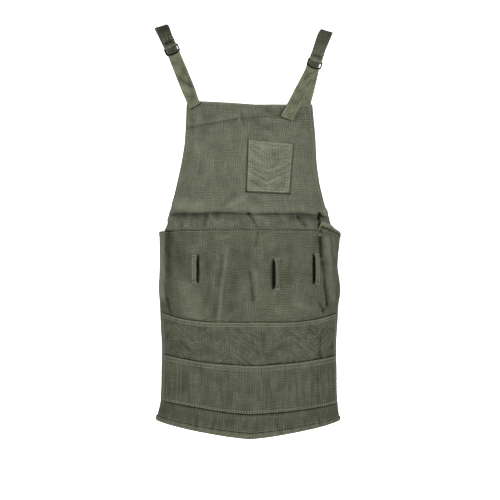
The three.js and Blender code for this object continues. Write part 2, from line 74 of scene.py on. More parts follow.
# Sections of the panels from top to bottom, each part of an ellipse: height and Y of its midline, half-depth,
# and for each side its reach in X, the angle to its edge in degrees and the rise of that edge.
SECTION = np.dtype([(name, float) for name in (
    "z", "front", "depth", "left", "left_turn", "left_lift", "right", "right_turn", "right_lift", "sweep",
)])
BIB_SECTIONS = np.array([
    (-193, -120, 100, 146, 50, 1, 144, 50, 4, 2),
    (-270, -128, 100, 149.5, 52, 0, 151, 52, 1, 2),
    (-322, -127.5, 102, 157.5, 54, 0, 154, 53, 0, 2),
    (-370, -126, 104, 168, 56, 0, 160.5, 55, 0, 2),
    (-413.5, -126, 108, 179, 61, -1, 172.7, 60, -5.5, 2),
    (-431.5, -131.5, 110, 183.7, 63, -1, 178.6, 62, -5.5, 2),
    (-440, -128, 110, 186, 64, -1, 181.4, 63, -5.5, 2),
    (-444.5, -119, 110, 187.3, 65, -1, 183.8, 64, -5.5, 2),
    (-481, -113, 109.4, 197, 68, 0, 191, 64, 0, 2),
    (-493, -113, 109.4, 197.5, 69, 0, 191.5, 65, 0, 2),
], dtype=SECTION)
SKIRT_SECTIONS = np.array([
    (-478.5, -116, 112, 215, 105, -5, 215, 105, -10.5, 5),
    (-553, -123, 112, 212.5, 99, -2, 208, 99, -6, 4),
    (-627, -127, 112, 216, 93, 10, 212, 93, 6, 4),
    (-693, -129, 112, 213, 88, 24, 206, 88, 20, 4),
    (-792, -130, 112, 208.5, 87, 23, 204, 87, 19, 1.6),
    (-900, -132, 112, 211, 87, 26, 206.5, 87, 17, 1.2),
    (-957, -133, 112, 221, 88, 33, 211.5, 88, 32, 1.25),
], dtype=SECTION)


class Slot(Enum):
    """Material slots of the record."""

    CANVAS = "canvas"
    STRAP = "strap_canvas"
    RING = "ring_metal"


class Side(Enum):
    """Side of the apron as the viewer sees it, with its sign in X."""

    LEFT = -1
    RIGHT = 1


class Hold(Enum):
    """How a sheet of cloth is held."""

    HUNG = "hung"
    LAID = "laid"
    STRETCHED = "stretched"


# Small helpers on whole arrays

def unit(vectors: Array) -> Array:
    """Vectors scaled to length 1."""
    return vectors / np.maximum(np.linalg.norm(vectors, axis=-1, keepdims=True), 1e-12)


def blend(first: Array, second: Array, share: Array) -> Array:
    """Straight mix of two values by a share from 0 to 1."""
    return first + (second - first) * share


def ease(value: Array, low: float, high: float) -> Array:
    """Smooth step from 0 at low to 1 at high."""
    share = np.clip((value - low) / (high - low), 0, 1)
    return share * share * (3 - 2 * share)


def bell(distance: Array, width: float) -> Array:
    """Bell curve that is 1 at distance 0 and falls to 1/e at its width."""
    return np.exp(-((distance / width) ** 2))


def through(values: Array, position: Array) -> Array:
    """Catmull-Rom curve through evenly spaced values, run straight on past the ends.

    Args:
        values: one value for each row of a table.
        position: row positions, where 2.5 is halfway from row 2 to row 3.

    Returns:
        The value at each position.
    """
    padded = np.concatenate([[2 * values[0] - values[1]], values, [2 * values[-1] - values[-2]]])
    first = np.clip(np.floor(position).astype(int), 0, len(values) - 2)
    a, b, c, d = (padded[first + step] for step in range(4))
    f = position - first
    bend = (2 * a - 5 * b + 4 * c - d) * f**2 + (3 * b - a - 3 * c + d) * f**3
    return b + 0.5 * ((c - a) * f + bend)


def spline(points: Array, share: Array) -> Array:
    """Centripetal Catmull-Rom curve through points.

    The span between two points is a cubic whose end slopes weigh the neighbouring chords by the square root
    of their lengths, and a ghost point carries each end straight on.

    Args:
        points: places that the curve passes through, one a row.
        share: places on the curve, where each span between two points is an equal share of 0 to 1.

    Returns:
        One point of the curve for each share.
    """
    spans = len(points) - 1
    padded = np.concatenate([[2 * points[0] - points[1]], points, [2 * points[-1] - points[-2]]])
    first = np.clip((share * spans).astype(int), 0, spans - 1)
    a, b, c, d = (padded[first + step] for step in range(4))
    chord = [np.sqrt(np.linalg.norm(q - p, axis=-1, keepdims=True)) for p, q in ((a, b), (b, c), (c, d))]
    lead, span, tail = (np.maximum(length, 1e-4) for length in chord)
    slope_b = ((b - a) / lead - (c - a) / (lead + span) + (c - b) / span) * span
    slope_c = ((c - b) / span - (d - b) / (span + tail) + (d - c) / tail) * span
    f = (share * spans - first)[:, None]
    square, cube = 3 * (c - b) - 2 * slope_b - slope_c, 2 * (b - c) + slope_b + slope_c
    return b + slope_b * f + square * f**2 + cube * f**3


def swell(across: Array, down: Array, seed: int) -> Array:
    """Gradient noise: random slopes on a unit lattice, mixed by a smooth quintic, about -0.7 to 0.7.

    Args:
        across: first coordinate in lattice steps.
        down: second coordinate in lattice steps.
        seed: chooses the lattice.

    Returns:
        Smooth bumps about one lattice step in size.
    """
    angles = np.random.default_rng(seed).uniform(0, 2 * np.pi, (LATTICE, LATTICE))
    i, j = np.floor(across).astype(int), np.floor(down).astype(int)
    f, g = across - i, down - j

    def corner(di: int, dj: int) -> Array:
        """Slope of one lattice corner at the point."""
        angle = angles[(i + di) % LATTICE, (j + dj) % LATTICE]
        return np.cos(angle) * (f - di) + np.sin(angle) * (g - dj)

    fade_f, fade_g = (s**3 * (s * (6 * s - 15) + 10) for s in (f, g))
    top = blend(corner(0, 0), corner(1, 0), fade_f)
    foot = blend(corner(0, 1), corner(1, 1), fade_f)
    return blend(top, foot, fade_g)


def sheet_normals(points: Array) -> Array:
    """Unit normals of a grid: its slope down the rows crossed with its slope along the columns."""
    return unit(np.cross(np.gradient(points, axis=0), np.gradient(points, axis=1)))


def flat_map(points: Array) -> Array:
    """Grid laid flat: path length along each row from its middle, and path length down each column.

    Args:
        points: grid of rows by columns.

    Returns:
        Both lengths for each point.
    """
    along = np.linalg.norm(np.diff(points, axis=1), axis=-1)
    across = np.pad(np.cumsum(along, axis=1), ((0, 0), (1, 0)))
    across -= across[:, across.shape[1] // 2][:, None]
    fall = np.linalg.norm(np.diff(points, axis=0), axis=-1)
    down = np.pad(np.cumsum(fall, axis=0), ((1, 0), (0, 0)))
    return np.stack([across, down], axis=-1)


def rim_distance(flat: Array) -> Array:
    """Distance from the rim: the least of those to the ends of a point's row and column.

    Args:
        flat: flat map of a grid.

    Returns:
        Distance of each point.
    """
    across, down = flat[..., 0], flat[..., 1]
    ends = (across[:, :1], across[:, -1:]), (down[:1], down[-1:])
    return np.minimum.reduce([np.abs(line - end) for line, pair in zip((across, down), ends) for end in pair])


@dataclass
class Mesh:
    """Arrays of one mesh: vertices, quads, and for each vertex its place on the flat cloth and its wear and
    painted light.
    """

    vertices: Array
    quads: Array
    flat: Array
    wear: Array

    @staticmethod
    def joined(meshes: Sequence["Mesh"]) -> "Mesh":
        """Several meshes as one.

        Args:
            meshes: the meshes in order.

        Returns:
            Their arrays end to end, with the quads renumbered.
        """
        starts = np.cumsum([0] + [len(mesh.vertices) for mesh in meshes[:-1]])
        quads = np.concatenate([mesh.quads + start for mesh, start in zip(meshes, starts)])
        vertices, flat, wear = (
            np.concatenate([getattr(mesh, name) for mesh in meshes]) for name in ("vertices", "flat", "wear")
        )
        return Mesh(vertices, quads, flat, wear)

    def area(self) -> float:
        """Surface in square millimetres, from the cross products of each quad's diagonals."""
        a, b, c, d = (self.vertices[self.quads[:, k]] for k in range(4))
        return 0.5 * float(np.linalg.norm(np.cross(c - a, d - b), axis=1).sum())

    def to_object(self, name: str, material: bpy.types.Material) -> bpy.types.Object:
        """Mesh object at the origin, in metres.

        Args:
            name: name of the object and its mesh.
            material: its only material.

        Returns:
            The object, linked to the scene, with smooth faces, a UV map and an attribute of wear and painted
            light.
        """
        mesh = bpy.data.meshes.new(name)
        count = len(self.quads)
        mesh.vertices.add(len(self.vertices))
        mesh.vertices.foreach_set("co", (self.vertices * MM).ravel())
        mesh.loops.add(4 * count)
        mesh.loops.foreach_set("vertex_index", self.quads.ravel())
        mesh.polygons.add(count)
        mesh.polygons.foreach_set("loop_start", np.arange(count) * 4)
        mesh.polygons.foreach_set("use_smooth", np.ones(count, bool))
        mesh.update(calc_edges=True)
        flat = self.flat[self.quads.ravel()] * MM
        mesh.uv_layers.new(name="cloth").uv.foreach_set("vector", flat.ravel())
        mesh.attributes.new("wear", "FLOAT", "POINT").data.foreach_set("value", self.wear)
        mesh.validate()
        mesh.materials.append(material)
        piece = bpy.data.objects.new(name, mesh)
        bpy.context.scene.collection.objects.link(piece)
        return piece


RIM_ANGLES = (36.0, 72.0, 108.0, 144.0)  # of the rings round a wall's edge, in degrees
RIM_REACH = 1.6  # how far in from its edge a wall is rubbed paler and given a painted highlight


def wall(points: Array, normals: Array, inside: Array, outside: Array, wear: Array | float = 0.0,
         rim_wear: float = 0.45, inner_wear: Array | float = 0.0) -> Mesh:
    """Closed wall of cloth over a grid of points.

    The outer and inner sheets lie at two offsets along the normals, and a half circle whose diameter is the
    wall joins them round the rim, so that every edge is rounded.

    Args:
        points: grid of rows by columns.
        normals: unit normals towards the outer side.
        inside: offset of the inner sheet.
        outside: offset of the outer sheet.
        wear: wear and painted light of the outer side beyond that of the rim; negative is painted shade.
        rim_wear: wear and painted highlight at the rim itself.
        inner_wear: the same for the inner side as for the outer.

    Returns:
        The closed mesh, with its flat map and its wear and painted light.
    """
    rows, columns = points.shape[:2]
    grid = np.arange(rows * columns).reshape(rows, columns)
    outer = points + normals * np.broadcast_to(outside, (rows, columns))[..., None]
    inner = points + normals * np.broadcast_to(inside, (rows, columns))[..., None]
    loop = np.concatenate([grid[0, :-1], grid[:-1, -1], grid[-1, :0:-1], grid[:0:-1, 0]])
    row, column = np.divmod(loop, columns)
    core = points[np.clip(row, 1, rows - 2), np.clip(column, 1, columns - 2)]
    middle, half = (outer + inner)[row, column] / 2, (outer - inner)[row, column] / 2
    facing = normals[row, column]
    out = points[row, column] - core
    out = unit(out - facing * (out * facing).sum(-1, keepdims=True))
    reach = np.linalg.norm(half, axis=-1, keepdims=True)
    angles = np.radians(RIM_ANGLES)[:, None, None]
    rings = middle + half * np.cos(angles) + out * reach * np.sin(angles)

    quads = np.stack([grid[:-1, :-1], grid[1:, :-1], grid[1:, 1:], grid[:-1, 1:]], axis=-1).reshape(-1, 4)
    first_ring = 2 * grid.size + np.arange(rings[..., 0].size).reshape(len(angles), -1)
    chain = np.concatenate([loop[None], first_ring, loop[None] + grid.size])
    beside = np.roll(chain, -1, axis=1)
    rim = np.stack([chain[:-1], beside[:-1], beside[1:], chain[1:]], axis=-1).reshape(-1, 4)

    flat = flat_map(points)
    # The rim is rubbed paler and given a painted highlight, where its edge would catch the light
    rubbed = rim_wear * bell(rim_distance(flat), RIM_REACH)
    outer_wear_and_painted_light, inner_wear = (np.clip(rubbed + worn_and_painted_light, -1, 1).ravel() for worn_and_painted_light in (wear, inner_wear))
    source = np.concatenate([grid.ravel(), grid.ravel(), np.tile(loop, len(angles))])
    return Mesh(
        np.concatenate([outer.reshape(-1, 3), inner.reshape(-1, 3), rings.reshape(-1, 3)]),
        np.concatenate([quads, quads[:, ::-1] + grid.size, rim]),
        flat.reshape(-1, 2)[source],
        np.concatenate([outer_wear_and_painted_light, inner_wear, np.tile(outer_wear_and_painted_light[loop], len(angles))]),
    )


def tube(path: Array, radius: float, sides: int) -> Mesh:
    """Round wire along a closed path: a circle square to the path's slope at each point.

    Args:
        path: points of the closed path, which lies in a plane.
        radius: radius of the wire.
        sides: points round the wire.

    Returns:
        The closed mesh.
    """
    slope = unit(np.roll(path, -1, axis=0) - np.roll(path, 1, axis=0))
    lift = unit(np.cross(path[1] - path[0], path[len(path) // 2] - path[0]))
    out = np.cross(slope, lift)
    angle = np.linspace(0, 2 * np.pi, sides, endpoint=False)[None, :, None]
    points = path[:, None] + radius * (out[:, None] * np.cos(angle) + lift * np.sin(angle))
    grid = np.arange(points[..., 0].size).reshape(len(path), sides)
    next_ring, next_side = np.roll(grid, -1, axis=0), np.roll(grid, -1, axis=1)
    quads = np.stack([grid, next_ring, np.roll(next_ring, -1, axis=1), next_side], axis=-1).reshape(-1, 4)
    flat = np.stack(np.meshgrid(np.arange(sides), np.arange(len(path))), axis=-1).reshape(-1, 2)
    return Mesh(points.reshape(-1, 3), quads, flat.astype(float), np.zeros(grid.size))


# Longer and thicker than life, so that single stitches show
STITCH_PITCH = 6.2
STITCH_LENGTH = 3.4
STITCH_RADIUS = 0.8
STITCH_FLATNESS = 0.75
STITCH_SLOPE = 0.4  # share of its length, to each side, over which its direction is taken
# One stitch: rings along it by share of its half length, and the thread's share of its radius at each
STITCH_RINGS = np.array([(-1.0, 0.35), (-0.6, 1.0), (0.6, 1.0), (1.0, 0.35)])
STITCH_SIDES = 6


def stitches(path: Array, normals: Array) -> Mesh:
    """Row of stitches along a path on cloth.

    Each stitch is a short rounded lozenge of thread, laid along the path at an even pitch and half sunk in
    the cloth.

    Args:
        path: points on the cloth.
        normals: normals of the cloth at those points.

    Returns:
        All stitches as one mesh.
    """
    length = np.concatenate([[0], np.cumsum(np.linalg.norm(np.diff(path, axis=0), axis=1))])
    count = max(int(length[-1] / STITCH_PITCH), 1)
    at = (np.arange(count) + 0.5) * length[-1] / count

    def between(values: Array, place: Array) -> Array:
        """Values of the path at lengths along it."""
        return np.stack([np.interp(place, length, values[:, axis]) for axis in range(3)], axis=-1)

    reach = STITCH_SLOPE * STITCH_LENGTH
    along = unit(between(path, at + reach) - between(path, at - reach))
    across = unit(np.cross(between(normals, at), along))
    up = np.cross(along, across)
    angle = np.linspace(0, 2 * np.pi, STITCH_SIDES, endpoint=False)
    share, girth = STITCH_RINGS[:, :1], STITCH_RINGS[:, 1:] * STITCH_RADIUS
    local = np.stack([
        np.broadcast_to(share * STITCH_LENGTH / 2, (len(share), STITCH_SIDES)),
        girth * np.cos(angle),
        STITCH_FLATNESS * girth * np.sin(angle),
    ], axis=-1).reshape(-1, 3)
    axes = np.stack([along, across, up], axis=1)
    vertices = between(path, at)[:, None] + local @ axes
    grid = np.arange(len(local)).reshape(len(share), STITCH_SIDES)
    turned = np.roll(grid, -1, axis=1)
    sides = np.stack([grid[:-1], turned[:-1], turned[1:], grid[1:]], axis=-1).reshape(-1, 4)
    near, far = grid[0], grid[-1]
    caps = np.array([near[[3, 2, 1, 0]], near[[5, 4, 3, 0]], far[[0, 1, 2, 3]], far[[0, 3, 4, 5]]])
    one = np.concatenate([sides, caps])
    quads = (one[None] + (np.arange(count) * len(local))[:, None, None]).reshape(-1, 4)
    flat = np.stack([vertices[..., 0], vertices[..., 2]], axis=-1).reshape(-1, 2)
    return Mesh(vertices.reshape(-1, 3), quads, flat, np.zeros(len(flat)))


# Finishes

def linear(colour: str) -> tuple[float, float, float, float]:
    """Linear colour of an sRGB hex value."""
    value = np.array([int(colour[k:k + 2], 16) for k in (1, 3, 5)]) / 255
    return (*np.where(value <= 0.04045, value / 12.92, ((value + 0.055) / 1.055) ** 2.4), 1.0)


def add_node(tree: bpy.types.NodeTree, kind: str, settings: dict, inputs: dict) -> bpy.types.NodeOutputs:
    """One shader node of a tree.

    Args:
        tree: where the node goes.
        kind: its type, after the word ShaderNode.
        settings: its own properties by name.
        inputs: for each socket, by name or number, a value, or another node's output to link.

    Returns:
        The outputs of the new node.
    """
    node = tree.nodes.new("ShaderNode" + kind)
    for name, value in settings.items():
        setattr(node, name, value)
    for key, value in inputs.items():
        if isinstance(value, bpy.types.NodeSocket):
            tree.links.new(value, node.inputs[key])
        else:
            node.inputs[key].default_value = value
    return node.outputs


def wave_scale(spacing: float) -> float:
    """Scale of a wave texture by its bands' spacing in mm: 20 times the scale is their angular rate."""
    return 2 * np.pi / (20 * spacing * MM)


# Settings and sockets that the node trees share
NOISE_2D = {"noise_dimensions": "2D"}
COLOURS = {"data_type": "RGBA"}
SHARE, FIRST, SECOND, MIXED = 0, 6, 7, 2  # inputs of a mix of colours, and its output
RANGE = ("Value", "From Min", "From Max", "To Min", "To Max")


@dataclass(frozen=True)
class Finish:
    """What a piece is made of: each kind lays out its own shader."""

    name: str

    def shader(self, tree: bpy.types.NodeTree) -> bpy.types.NodeSocket:
        """Output of the shader that a kind of finish adds to the tree."""
        raise NotImplementedError

    def material(self) -> bpy.types.Material:
        """The finish as a node material.

        Returns:
            A new material of the finish's name.
        """
        material = bpy.data.materials.new(self.name)
        material.use_nodes = True
        tree = material.node_tree
        tree.nodes.clear()
        add_node(tree, "OutputMaterial", {}, {"Surface": self.shader(tree)})
        return material


@dataclass(frozen=True)
class Canvas(Finish):
    """Cotton duck, plain woven from thick uneven yarn, piece dyed and washed.

    It is matt, with a faint bloom at grazing angles. Slubs in the yarn show as short streaks along and
    across, the dye is blotchy, and hems, ridges and edges are rubbed paler. Its wear attribute also paints
    light and
    shade: painted highlights on rolled edges and crests, and painted shade in creases, gaps and under folds.
    """

    tone: str
    shade: str
    # Paler colour that rubbed places and painted highlights mix towards
    worn_and_painted_light: str
    yarn: float = 1.3  # spacing of the threads
    slub: tuple[float, float] = (2.6, 34.0)  # breadth and length; broader than life, so that it shows
    drift: tuple[float, float] = (50.0, 11.0)  # size and reach of the waver that washing leaves in the weave
    blotch: float = 42.0
    nep: float = 2.6  # knots and gaps of the weave; real ones are under 2 mm, drawn coarser so that they show
    rib: float = 5.6  # spacing of the ribs; real ones are under 2 mm, drawn coarser so that they show
    rib_patch: float = 80.0  # size of the patches in which the ribs of warp or weft stand out
    rib_ground: float = 0.82  # tone between the ribs
    rib_depth: float = 0.36  # depth of warp and weft ribs together

    def shader(self, tree: bpy.types.NodeTree) -> bpy.types.NodeSocket:
        """Shader that reads the cloth's flat map and its wear and painted light.

        Args:
            tree: where its nodes go.

        Returns:
            The shader's output.
        """
        flat = add_node(tree, "UVMap", {"uv_map": "cloth"}, {})["UV"]
        wear = add_node(tree, "Attribute", {"attribute_name": "wear"}, {})["Fac"]
        drift, blotches, neps, patches = (
            add_node(tree, "TexNoise", NOISE_2D, {
                "Vector": flat, "Scale": 1 / (size * MM), "Detail": detail, "Roughness": roughness,
            })
            for size, detail, roughness in (
                (self.drift[0], 1.0, 0.5), (self.blotch, 4.0, 0.6), (self.nep, 3.0, 0.7),
                (self.rib_patch, 1.0, 0.5),
            )
        )
        uneven = add_node(tree, "VectorMath", {"operation": "MULTIPLY_ADD"}, {
            0: drift[1], 1: (self.drift[1] * MM,) * 3, 2: flat,
        })[0]
        thin, long = (1 / (size * MM) for size in self.slub)
        streaks = []
        for scale in ((thin, long, 1.0), (long, thin, 1.0)):
            turned = add_node(tree, "Mapping", {}, {"Vector": uneven, "Scale": scale})[0]
            noise = add_node(tree, "TexNoise", NOISE_2D, {"Vector": turned, "Scale": 1.0, "Detail": 2.0})
            streaks.append(noise[0])
        ribs, threads = (
            [add_node(tree, "TexWave", {"bands_direction": direction}, {
                "Vector": vector, "Scale": wave_scale(spacing), "Distortion": distortion, "Detail": 1.0,
                "Detail Scale": 0.4,
            })[1] for direction in ("X", "Y")]
            for vector, spacing, distortion in ((uneven, self.rib, 0.8), (flat, self.yarn, 0.6))
        )
        slubs, weave = (
            add_node(tree, "Math", {"operation": "ADD"}, dict(enumerate(pair)))[0]
            for pair in (streaks, threads)
        )
        dyed, pale, fleck, depth, painted_shade, rough = (
            add_node(tree, "MapRange", {}, dict(zip(RANGE, row)))[0] for row in (
                (blotches[0], 0.34, 0.66, 0.0, 1.0), (slubs, 0.75, 1.4, 0.0, 0.16),
                (neps[0], 0.25, 0.75, 0.58, 1.42), (patches[0], 0.35, 0.65, 0.03, 0.33),
                (wear, -1.0, 0.0, 0.08, 1.0), (blotches[0], 0.3, 0.7, 0.86, 0.97),
            )
        )
        # The ribs of warp and weft share one depth, and take turns by patch
        rest = add_node(tree, "Math", {"operation": "SUBTRACT"}, {0: self.rib_depth, 1: depth})[0]
        ribbed = self.rib_ground
        for rib, share in zip(ribs, (depth, rest)):
            ribbed = add_node(tree, "Math", {"operation": "MULTIPLY_ADD"}, {0: rib, 1: share, 2: ribbed})[0]
        # Painted shade: negative values of the wear attribute darken the cloth, down to 0.08 of its colour
        for factor in (ribbed, painted_shade):
            fleck = add_node(tree, "Math", {"operation": "MULTIPLY"}, {0: fleck, 1: factor})[0]
        # Positive values mix towards the paler colour: rubbed places and painted highlights
        rubbed = wear
        for factor, clamp in ((slubs, False), (0.75, True)):
            settings = {"operation": "MULTIPLY", "use_clamp": clamp}
            rubbed = add_node(tree, "Math", settings, {0: rubbed, 1: factor})[0]
        colour = linear(self.shade)
        for share, over, mode in (
            (dyed, linear(self.tone), "MIX"), (pale, linear(self.worn_and_painted_light), "MIX"), (1.0, fleck, "MULTIPLY"),
            (rubbed, linear(self.worn_and_painted_light), "MIX"),
        ):
            colour = add_node(tree, "Mix", {**COLOURS, "blend_type": mode}, {
                SHARE: share, FIRST: colour, SECOND: over,
            })[MIXED]
        relief = add_node(tree, "Bump", {}, {"Height": weave, "Strength": 0.5, "Distance": 0.2 * MM})[0]
        for height, strength, distance in ((slubs, 0.7, 0.5), (neps[0], 0.8, 0.6)):
            relief = add_node(tree, "Bump", {}, {
                "Height": height, "Strength": strength, "Distance": distance * MM, "Normal": relief,
            })[0]
        return add_node(tree, "BsdfPrincipled", {}, {
            "Base Color": colour, "Roughness": rough, "Normal": relief, "Metallic": 0.0, "IOR": 1.45,
            "Specular IOR Level": 0.25, "Sheen Weight": 0.06, "Sheen Roughness": 0.5,
            "Sheen Tint": linear(self.worn_and_painted_light),
        })[0]


@dataclass(frozen=True)
class Thread(Finish):
    """Spun polyester sewing thread, twisted: a shade paler than the cloth, with a soft silky light."""

    tone: str
    shade: str
    strand: float = 0.5

    def shader(self, tree: bpy.types.NodeTree) -> bpy.types.NodeSocket:
        """Shader on Object coordinates: the strands' noise mixes two tones and lifts the surface.

        Args:
            tree: where its nodes go.

        Returns:
            The shader's output.
        """
        place = add_node(tree, "TexCoord", {}, {})["Object"]
        strands = add_node(tree, "TexNoise", {}, {
            "Vector": place, "Scale": 1 / (self.strand * MM), "Detail": 1.0,
        })[0]
        colour = add_node(tree, "Mix", COLOURS, {
            SHARE: strands, FIRST: linear(self.shade), SECOND: linear(self.tone),
        })[MIXED]
        twist = add_node(tree, "Bump", {}, {"Height": strands, "Strength": 0.4, "Distance": 0.1 * MM})[0]
        return add_node(tree, "BsdfPrincipled", {}, {
            "Base Color": colour, "Roughness": 0.6, "Normal": twist, "Sheen Weight": 0.2,
        })[0]


@dataclass(frozen=True)
class BlackenedSteel(Finish):
    """Welded steel wire, blackened and oiled: dark, with tight highlights, rubbed to grey in fine patches."""

    tone: str
    rubbed: str
    grain: float = 1.2
    patch: float = 7.2

    def shader(self, tree: bpy.types.NodeTree) -> bpy.types.NodeSocket:
        """Shader on Object coordinates: coarse noise rubs it to grey, and fine noise dulls and pits it.

        Args:
            tree: where its nodes go.

        Returns:
            The shader's output.
        """
        place = add_node(tree, "TexCoord", {}, {})["Object"]
        grain, patches = (
            add_node(tree, "TexNoise", {}, {"Vector": place, "Scale": 1 / (size * MM), "Detail": 3.0})[0]
            for size in (self.grain, self.patch)
        )
        bare, rough = (
            add_node(tree, "MapRange", {}, dict(zip(RANGE, row)))[0]
            for row in ((patches, 0.5, 0.75, 0.0, 0.7), (grain, 0.0, 1.0, 0.18, 0.42))
        )
        colour = add_node(tree, "Mix", COLOURS, {
            SHARE: bare, FIRST: linear(self.tone), SECOND: linear(self.rubbed),
        })[MIXED]
        pits = add_node(tree, "Bump", {}, {"Height": grain, "Strength": 0.15, "Distance": 0.1 * MM})[0]
        return add_node(tree, "BsdfPrincipled", {}, {
            "Base Color": colour, "Metallic": 1.0, "Roughness": rough, "Normal": pits,
        })[0]


@dataclass(frozen=True)
class StudioPaper(Finish):
    """Seamless matt studio paper, even and pale."""

    tone: str
    glow: float = 0.0

    def shader(self, tree: bpy.types.NodeTree) -> bpy.types.NodeSocket:
        """Plain matt shader, lit from within by its glow."""
        return add_node(tree, "BsdfPrincipled", {}, {
            "Base Color": linear(self.tone), "Roughness": 0.9, "Emission Color": linear(self.tone),
            "Emission Strength": self.glow,
        })[0]


STRAP_WEAVE = {"slub": (2.2, 20.0), "blotch": 26.0}
# Bib and skirt are one cloth: the bib's paler copy is painted light and the skirt's darker copy is painted
# shade, for light that falls more on the chest than on the lap
LIT_BIB_CANVAS = Canvas("lit_olive_cotton_duck", "#696c5d", "#5f6254", "#929585")
SHADED_SKIRT_CANVAS = Canvas("olive_cotton_duck", "#606254", "#56584a", "#868978")
STRAP_CANVAS = Canvas("olive_cotton_strap", "#6f725e", "#606351", "#989a85", **STRAP_WEAVE)
# The shoulder straps are the same webbing as the front straps: their darker copy is painted shade, where they
# turn up over the shoulders
SHADED_SHOULDER_CANVAS = Canvas("shaded_olive_cotton_strap", "#505245", "#45473b", "#767868", **STRAP_WEAVE)
THREAD = Thread("olive_polyester_thread", "#93957f", "#787a66")
RING_STEEL = BlackenedSteel("blackened_steel_wire", "#19191b", "#4a4a4c")


@dataclass
class Outfit:
    """Makes finished pieces: puts meshes into the scene with their material and body, and hides the solids
    that they replace.
    """

    materials: dict[str, bpy.types.Material] = field(default_factory=dict)

    def dress(self, name: str, mesh: Mesh, finish: Finish, slot: Slot,
              nodes: Sequence[str] = ()) -> bpy.types.Object:
        """One piece, riding on the body and standing for its solids.

        Args:
            name: name of the piece.
            mesh: its arrays.
            finish: what it is made of.
            slot: the record's material slot; not used.
            nodes: the solids that it replaces.

        Returns:
            The finished object.
        """
        if finish.name not in self.materials:
            self.materials[finish.name] = finish.material()
        piece = mesh.to_object(name, self.materials[finish.name])
        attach(piece, BODY)
        if nodes:
            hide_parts(*nodes)
        log.info("%s: %d quads", name, len(mesh.quads))
        return piece

    def sew(self, name: str, rows: Sequence[Mesh], slot: Slot) -> bpy.types.Object:
        """Stitching of one piece, as one object."""
        return self.dress(name, Mesh.joined(rows), THREAD, slot)


# Cloth panels

@dataclass(frozen=True)
class Fold:
    """A ridge, or a crease where rise is negative, along a line between two points of the front.

    Its crest is rubbed paler and a crease gets painted shade, by its rub for each millimetre of its rise; a
    negative rub paints shade along a ridge.
    """

    start_x: float
    start_z: float
    end_x: float
    end_z: float
    width: float
    rise: float
    rub_and_painted_shade: float = 0.11

    def height(self, x: Array, z: Array) -> Array:
        """Rise of the fold: a bell of its width across its line, round the ends.

        Args:
            x: X of the points.
            z: Z of the points.

        Returns:
            Rise at each point.
        """
        dx, dz = self.end_x - self.start_x, self.end_z - self.start_z
        share = np.clip(((x - self.start_x) * dx + (z - self.start_z) * dz) / (dx**2 + dz**2), 0, 1)
        off = np.hypot(x - self.start_x - share * dx, z - self.start_z - share * dz)
        return self.rise * bell(off, self.width)


@dataclass(frozen=True)
class Ripple:
    """Soft irregular waves in cloth.

    They have a size across and down, a rise, a turn of their run and a rub: their crests are rubbed paler and
    their hollows get painted shade. Where they are only local, they lie about a level in v, within a reach.
    """

    across: float
    down: float
    rise: float
    seed: int
    turn: float = 0.0
    rub_and_painted_shade: float = 0.03
    level: float = 0.0
    reach: float = np.inf

    def height(self, u: Array, v: Array) -> Array:
        """Gradient noise of the ripple's size, on coordinates turned by its angle, in a bell about its level.

        Args:
            u: place across the cloth.
            v: place down the cloth.

        Returns:
            Rise at each point.
        """
        cos, sin = np.cos(np.radians(self.turn)), np.sin(np.radians(self.turn))
        waves = swell((u * cos + v * sin) / self.across, (v * cos - u * sin) / self.down, self.seed)
        return FULL_SWELL * self.rise * waves * bell(v - self.level, self.reach)


@dataclass(frozen=True)
class DrawnUp:
    """A top edge that is drawn up: X of its peak, its rise, its flanks and the row down to which it fades."""

    peak: float
    rise: float
    inner_flank: float
    outer_flank: float
    fade: float

    def height(self, x: Array, position: Array) -> Array:
        """Rise of the edge: a bell up to the peak and a straight slope after it, fading out below the edge.

        Args:
            x: X of the points.
            position: their row position.

        Returns:
            Shift in Z at each point.
        """
        slope = 1 - np.clip((x - self.peak) / self.outer_flank, 0, 1)
        flanks = np.where(x < self.peak, bell(x - self.peak, self.inner_flank), slope)
        return self.rise * np.clip(1 - position / self.fade, 0, 1) ** 2 * flanks


@dataclass(frozen=True)
class Waver:
    """An edge or fold that doesn't run level: its row position, how far that reaches, and its waves in X."""

    position: float
    reach: float
    size: float
    rise: float
    seed: int
    line: float = 0.37  # of the noise's lattice, along which the waves run

    def height(self, x: Array, position: Array) -> Array:
        """Shift in Z: gradient noise along X, strongest at the row position."""
        waves = swell(x / self.size, np.full_like(x, self.line), self.seed)
        return FULL_SWELL * self.rise * waves * bell(position - self.position, self.reach)


@dataclass(frozen=True)
class Band:
    """Band across a panel, painted paler or darker: highlights along crests and rolls, shade under folds,
    mouths and hems. It has a row position, how far it reaches and how strong it is.
    """

    position: float
    reach: float
    strength: float

    def wear(self, position: Array) -> Array:
        """Paler or darker by row position: a bell about the band's own."""
        return self.strength * bell(position - self.position, self.reach)


# Search for a place on a panel: rounds of row against t, halvings in each, where the rows start above the top
# edge, the widest turn in degrees that has one t for each X, and the span of t on the sides
LOCATE_ROUNDS = 6
HALVINGS = 30
ABOVE_TOP = -0.6
WIDEST_TURN = 89.0
SIDE_SPAN = (0.5, 1.4)
SLOPE_STEP = 1e-3  # in t and row position, over which a panel's slopes are taken


